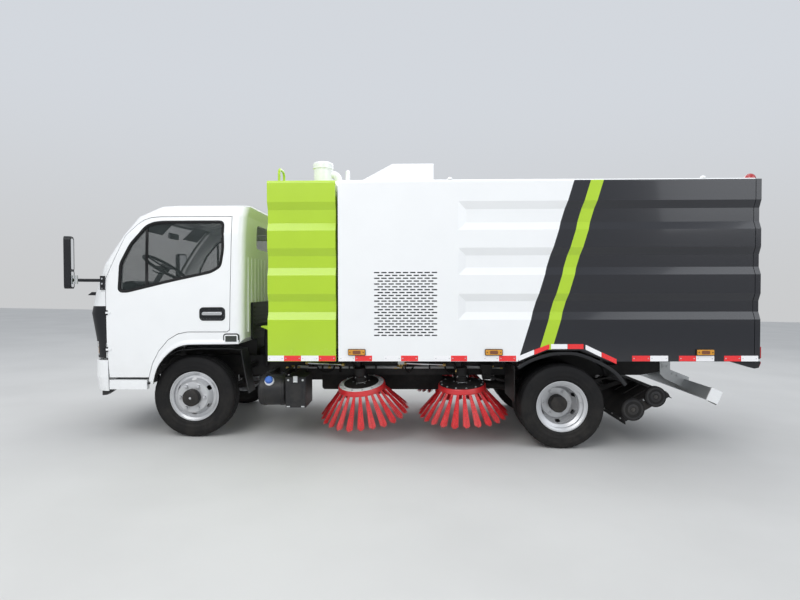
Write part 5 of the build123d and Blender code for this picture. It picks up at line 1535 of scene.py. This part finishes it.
# Springs' U bolts, shock absorbers, brake chambers and the hoop behind the cab
bolts, dampers, chambers, hoop = (bmesh.new() for _ in range(4))
for out in sides.values():
    for x, y, half, low, high in ((0, 370, 36, 322, 414), (truck["wheelbase"], 462, 41, 246, 458)):
        for end in (-46, 46):
            for way in (-1, 1):
                legY = out * (y + way * half)
                addRod(bolts, (x + end, legY, low), (x + end, legY, high), 7, 10)
                addBolt(bolts, (x + end, legY, low + 12), (0, 0, -1), 20, 12)
            addRod(bolts, (x + end, out * (y - half), high - 7), (x + end, out * (y + half), high - 7), 7, 10)
    addRod(dampers, (128, out * 308, 356), (170, out * 308, 500), 20, 18)
    addRod(dampers, (160, out * 308, 468), (196, out * 308, 600), 27, 18)
    addBox(dampers, 176, 216, out * 296, out * 336, 590, 622)
    centre = (truck["wheelbase"] - 150, out * 330, rearAxleZ + 78)
    addLathe(chambers, [(0.1, -70), (62, -70), (70, -58), (70, -6), (76, -2), (76, 8), (70, 12), (66, 52),
                        (48, 64), (0.1, 64)], "x", centre, 30)
    addRod(chambers, (centre[0] + 60, centre[1], centre[2]),
           (centre[0] + 118, centre[1], centre[2] - 20), 9, 10)
addTube(hoop, smoothPath([(560, -424, 600), (560, -424, 900), (560, -410, 960), (560, -360, 984),
                          (560, 0, 986),
                          (560, 360, 984), (560, 410, 960), (560, 424, 900), (560, 424, 600)], 6), 21, 14)
makePiece("springBolts", bolts, "chassis", "zincSteel")
makePiece("shockAbsorbers", dampers, "chassis", "castIron")
makePiece("brakeChambers", chambers, "chassis", "chassisBlack")
makePiece("cabHoop", hoop, "chassis", "chassisBlack", smooth=60)

# Dark hub caps and ringed nuts on the wheels, with a valve on each rim
hubLook = {"nutCircle": 111, "nuts": 6, "dish": 120, "valveX": 172, "valveZ": 26,
           # x and y of the wheel's middle, its height, side of the disc, end of the cap, valve's y
           "wheels": {"front": (0, truck["frontWheelY"], frontAxleZ, 1, 58, 46),
                      "rear": (truck["wheelbase"], truck["rearWheelY"] + 120, rearAxleZ, -1, 105, 40)}}
for side, out in sides.items():
    for axle, (x, y, z, facing, capEnd, valveY) in hubLook["wheels"].items():
        front = axle == "front"
        body = f"wheel_front_{side}" if front else f"wheels_rear_{side}"
        bright = 1 if front else 0
        caps = bmesh.new()
        discY = out * (y + facing * hubLook["dish"])
        capProfiles = (
            (((0.1, capEnd + 4), (58, capEnd + 3), (72, capEnd - 3), (77, capEnd - 16), (77, 6), (68, 6),
              (68, capEnd - 16), (0.1, capEnd - 16)), 44, 0),
            (((0.1, capEnd + 7), (9, capEnd + 6), (12, capEnd + 2), (0.1, capEnd + 2)), 20, bright))
        for profile, steps, index in capProfiles:
            addLathe(caps, outward(profile, out), "y", (x, discY, z), steps, index)
        for k in range(hubLook["nuts"]):
            angle = 2 * math.pi * k / hubLook["nuts"]
            spot = (x + hubLook["nutCircle"] * math.cos(angle), discY,
                    z - hubLook["nutCircle"] * math.sin(angle))
            ring = ((17, 0), (24, 0), (24, 3.5), (22, 5), (17, 5), (17, 0))
            stud = ((0.1, 33), (6, 33), (8, 31), (8, 21), (0.1, 21))
            addLathe(caps, outward(ring, out), "y", spot, 20, bright)
            addLathe(caps, outward(stud, out), "y", spot, 12, 1)
        valveFoot = Vector((x + hubLook["valveX"], out * (y + valveY), z + hubLook["valveZ"]))
        addRod(caps, valveFoot, valveFoot + Vector((10, out * 30, 2)), 4, 8, 1)
        makePiece(f"hubCaps_{axle}_{side}", caps, body, ["chassisBlack", "wheelSilver"])
print("running gear dressed")

# Step mats
mats = bmesh.new()
for out in sides.values():
    addPrism(mats, roundedOutline(-700, -404, *span(out, 738, 872), 10), "z", 537.6, 541)
    for k in range(13):
        addBox(mats, -692 + k * 22, -684 + k * 22, out * 744, out * 866, 541, 543.5)
makePiece("stepMats", mats, "cab", "blackPlastic")

# Roof hood: the outlet louvres in its rear
hoodLook = {"rear": 2186, "low": 2322, "step": 14, "count": 10}
louvres = bmesh.new()
for k in range(hoodLook["count"]):
    z = hoodLook["low"] + k * hoodLook["step"]
    addBox(louvres, hoodLook["rear"] - 0.5, hoodLook["rear"] + 1.5, -700, -100, z, z + 7)
makePiece("hoodLouvres", louvres, "hopper", "hoseRubber")
print("roof dressed")

# Black rubber: the cover behind the cab and the flaps ahead of the rear wheels, plus dark sheets under the
# frame that are painted shade for the shaded underbody between the brushes
rubberLook = {"coverHalf": 700, "coverZ": (878, 1226), "coverX": (486, 504), "shadeSheetY": 190,
              "shadeSheetZ": (325, 590), "shadeSheetX": (1070, 2296), "flapX": 2878, "flapZ": (350, 676),
              "toe": [(-807, 446), (-723, 446), (-723, 456), (-696, 456), (-712, 434), (-768, 397),
                      (-807, 394)],
              "archEnd": [(-399, 512), (-372, 512), (-372, 494), (-399, 498)]}
cover = bmesh.new()
coverHalf = rubberLook["coverHalf"]
addPrism(cover, roundedOutline(-coverHalf, coverHalf, *rubberLook["coverZ"], 24), "x", *rubberLook["coverX"])
for k in range(7):
    z = 930 + k * 40
    addBox(cover, 503.5, 508, -coverHalf + 60, coverHalf - 60, z, z + 16)
makePiece("cabBackCover", cover, "cab", "blackPlastic", bevel=1.5)
shadeSheetsAndFlaps, shadeSheetAndFlapBars = bmesh.new(), bmesh.new()
x0, x1 = rubberLook["shadeSheetX"]
y, flapX = rubberLook["shadeSheetY"], rubberLook["flapX"]
for out in sides.values():
    # Dark sheet inside the frame, with its bar and bolts: painted shade for the shaded underbody between the
    # brushes
    addPrism(shadeSheetsAndFlaps, roundedOutline(x0, x1, *rubberLook["shadeSheetZ"], 30), "y", *span(out, y, y + 6))
    addBox(shadeSheetAndFlapBars, x0 + 10, x1 - 10, *span(out, y + 6, y + 11), 556, 590)
    for x in (1300, 2200):
        addBox(shadeSheetAndFlapBars, x - 22, x + 22, *span(out, y - 44, y + 11), 590, 605)
    for k in range(12):
        addBolt(shadeSheetAndFlapBars, (x0 + 60 + k * 100, out * (y + 11), 573), (0, out, 0), 15, 7)
    addPrism(shadeSheetsAndFlaps, roundedOutline(*span(out, 520, 1000), *rubberLook["flapZ"], 20), "x", flapX, flapX + 7)
    addBox(shadeSheetAndFlapBars, flapX - 4, flapX, *span(out, 530, 990), 640, 672)
    addBox(shadeSheetAndFlapBars, flapX, 2916, *span(out, 700, 740), 660, 672)
    for k in range(5):
        addBolt(shadeSheetAndFlapBars, (flapX - 4, out * (560 + k * 100), 656), (-1, 0, 0), 15, 6)
makePiece("shadeSheetsAndRubberFlaps", shadeSheetsAndFlaps, "chassis", "hoseRubber", bevel=1.5)
makePiece("shadeSheetAndFlapBars", shadeSheetAndFlapBars, "chassis", "chassisBlack")
toeLips = bmesh.new()
for out in sides.values():
    addPrism(toeLips, rubberLook["toe"], "y", *span(out, 842, 908))
    addPrism(toeLips, rubberLook["archEnd"], "y", *span(out, 896, 929))
makePiece("toeLips", toeLips, "cab", "blackPlastic", bevel=3)
print("rubber covers made")

# Stage, light and camera

stageLook = {"floorColor": (0.62, 0.62, 0.61), "floorHalf": 24.0, "skyColor": (0.86, 0.90, 0.96),
             "skyStrength": 0.76}


def makeFloor():
    material, wiring, shader, place = newMaterial("studioFloor")
    blotch = wiring.ramp(wiring.noise(place, 0.7, Detail=6.0), 0.3, 0.7)
    pale = rgba(stageLook["floorColor"])
    dim = rgba([channel * 0.93 for channel in stageLook["floorColor"]])
    wiring.feed(shader, {"Base Color": wiring.mix(blotch, pale, dim), "Roughness": 0.75})
    half = stageLook["floorHalf"]
    mesh = bpy.data.meshes.new("studioFloor")
    corners = [(-half, -half, 0), (half, -half, 0), (half, half, 0), (-half, half, 0)]
    mesh.from_pydata(corners, [], [(0, 1, 2, 3)])
    mesh.materials.append(material)
    floor = bpy.data.objects.new("studioFloor", mesh)
    bpy.context.scene.collection.objects.link(floor)


makeFloor()

world = bpy.data.worlds.new("softSky")
bpy.context.scene.world = world
world.use_nodes = True
skyWiring = Wiring(world.node_tree)
background = world.node_tree.nodes["Background"]
skyPlace = skyWiring.add("ShaderNodeTexCoord").outputs["Generated"]
skyFade = skyWiring.ramp(skyWiring.parts(skyPlace)["Z"], -0.05, 0.35)
skyTone = skyWiring.mix(skyFade, rgba((0.78, 0.79, 0.80)), rgba(stageLook["skyColor"]))
skyWiring.feed(background, {"Color": skyTone, "Strength": stageLook["skyStrength"]})

lamps = {  # name: place, aim, size, power, color
    "keyPanel": ((-3.5, -7.5, 7.0), (0.2, 0, 1.0), 6.0, 360, (1.0, 0.985, 0.96)),
    "fillPanel": ((6.5, -6.0, 5.0), (0.5, 0, 1.0), 5.0, 130, (0.93, 0.96, 1.0)),
    "backPanel": ((1.0, 8.0, 6.5), (0, 0, 1.2), 6.0, 230, (1.0, 1.0, 1.0)),
    "topPanel": ((0.0, 0.0, 9.0), (0, 0, 0), 7.0, 200, (1.0, 1.0, 1.0)),
}
for lampName, (spot, aim, size, power, color) in lamps.items():
    light = bpy.data.lights.new(lampName, "AREA")
    light.shape = "SQUARE"
    light.size = size
    light.energy = power
    light.color = color
    lamp = bpy.data.objects.new(lampName, light)
    bpy.context.scene.collection.objects.link(lamp)
    lamp.location = spot
    lamp.rotation_euler = (Vector(aim) - Vector(spot)).to_track_quat("-Z", "Y").to_euler()

# The camera, fitted to the photograph's perspective
view = {"at": (1987, -5854, 1341), "yaw": -1.21, "pitch": -1.06, "roll": -0.12, "focalPixels": 556.1}
yaw, pitch, roll = (math.radians(view[key]) for key in ("yaw", "pitch", "roll"))
ahead = Vector((math.sin(yaw) * math.cos(pitch), math.cos(yaw) * math.cos(pitch), math.sin(pitch)))
level = Vector((math.cos(yaw), -math.sin(yaw), 0))
upward = level.cross(ahead)
across = level * math.cos(roll) + upward * math.sin(roll)
over = -level * math.sin(roll) + upward * math.cos(roll)
turned = Matrix.Rotation(-lean, 3, "Y")
axes = Matrix((turned @ across, turned @ over, -(turned @ ahead))).transposed()
lens = bpy.data.cameras.new("photoCamera")
lens.sensor_width = 36
lens.lens = view["focalPixels"] * lens.sensor_width / 800
camera = bpy.data.objects.new("photoCamera", lens)
bpy.context.scene.collection.objects.link(camera)
camera.matrix_world = Matrix.Translation(toFrame @ Vector(view["at"])) @ axes.to_4x4()
bpy.context.scene.camera = camera
bpy.context.scene.view_settings.view_transform = "Standard"
print("stage and camera set")
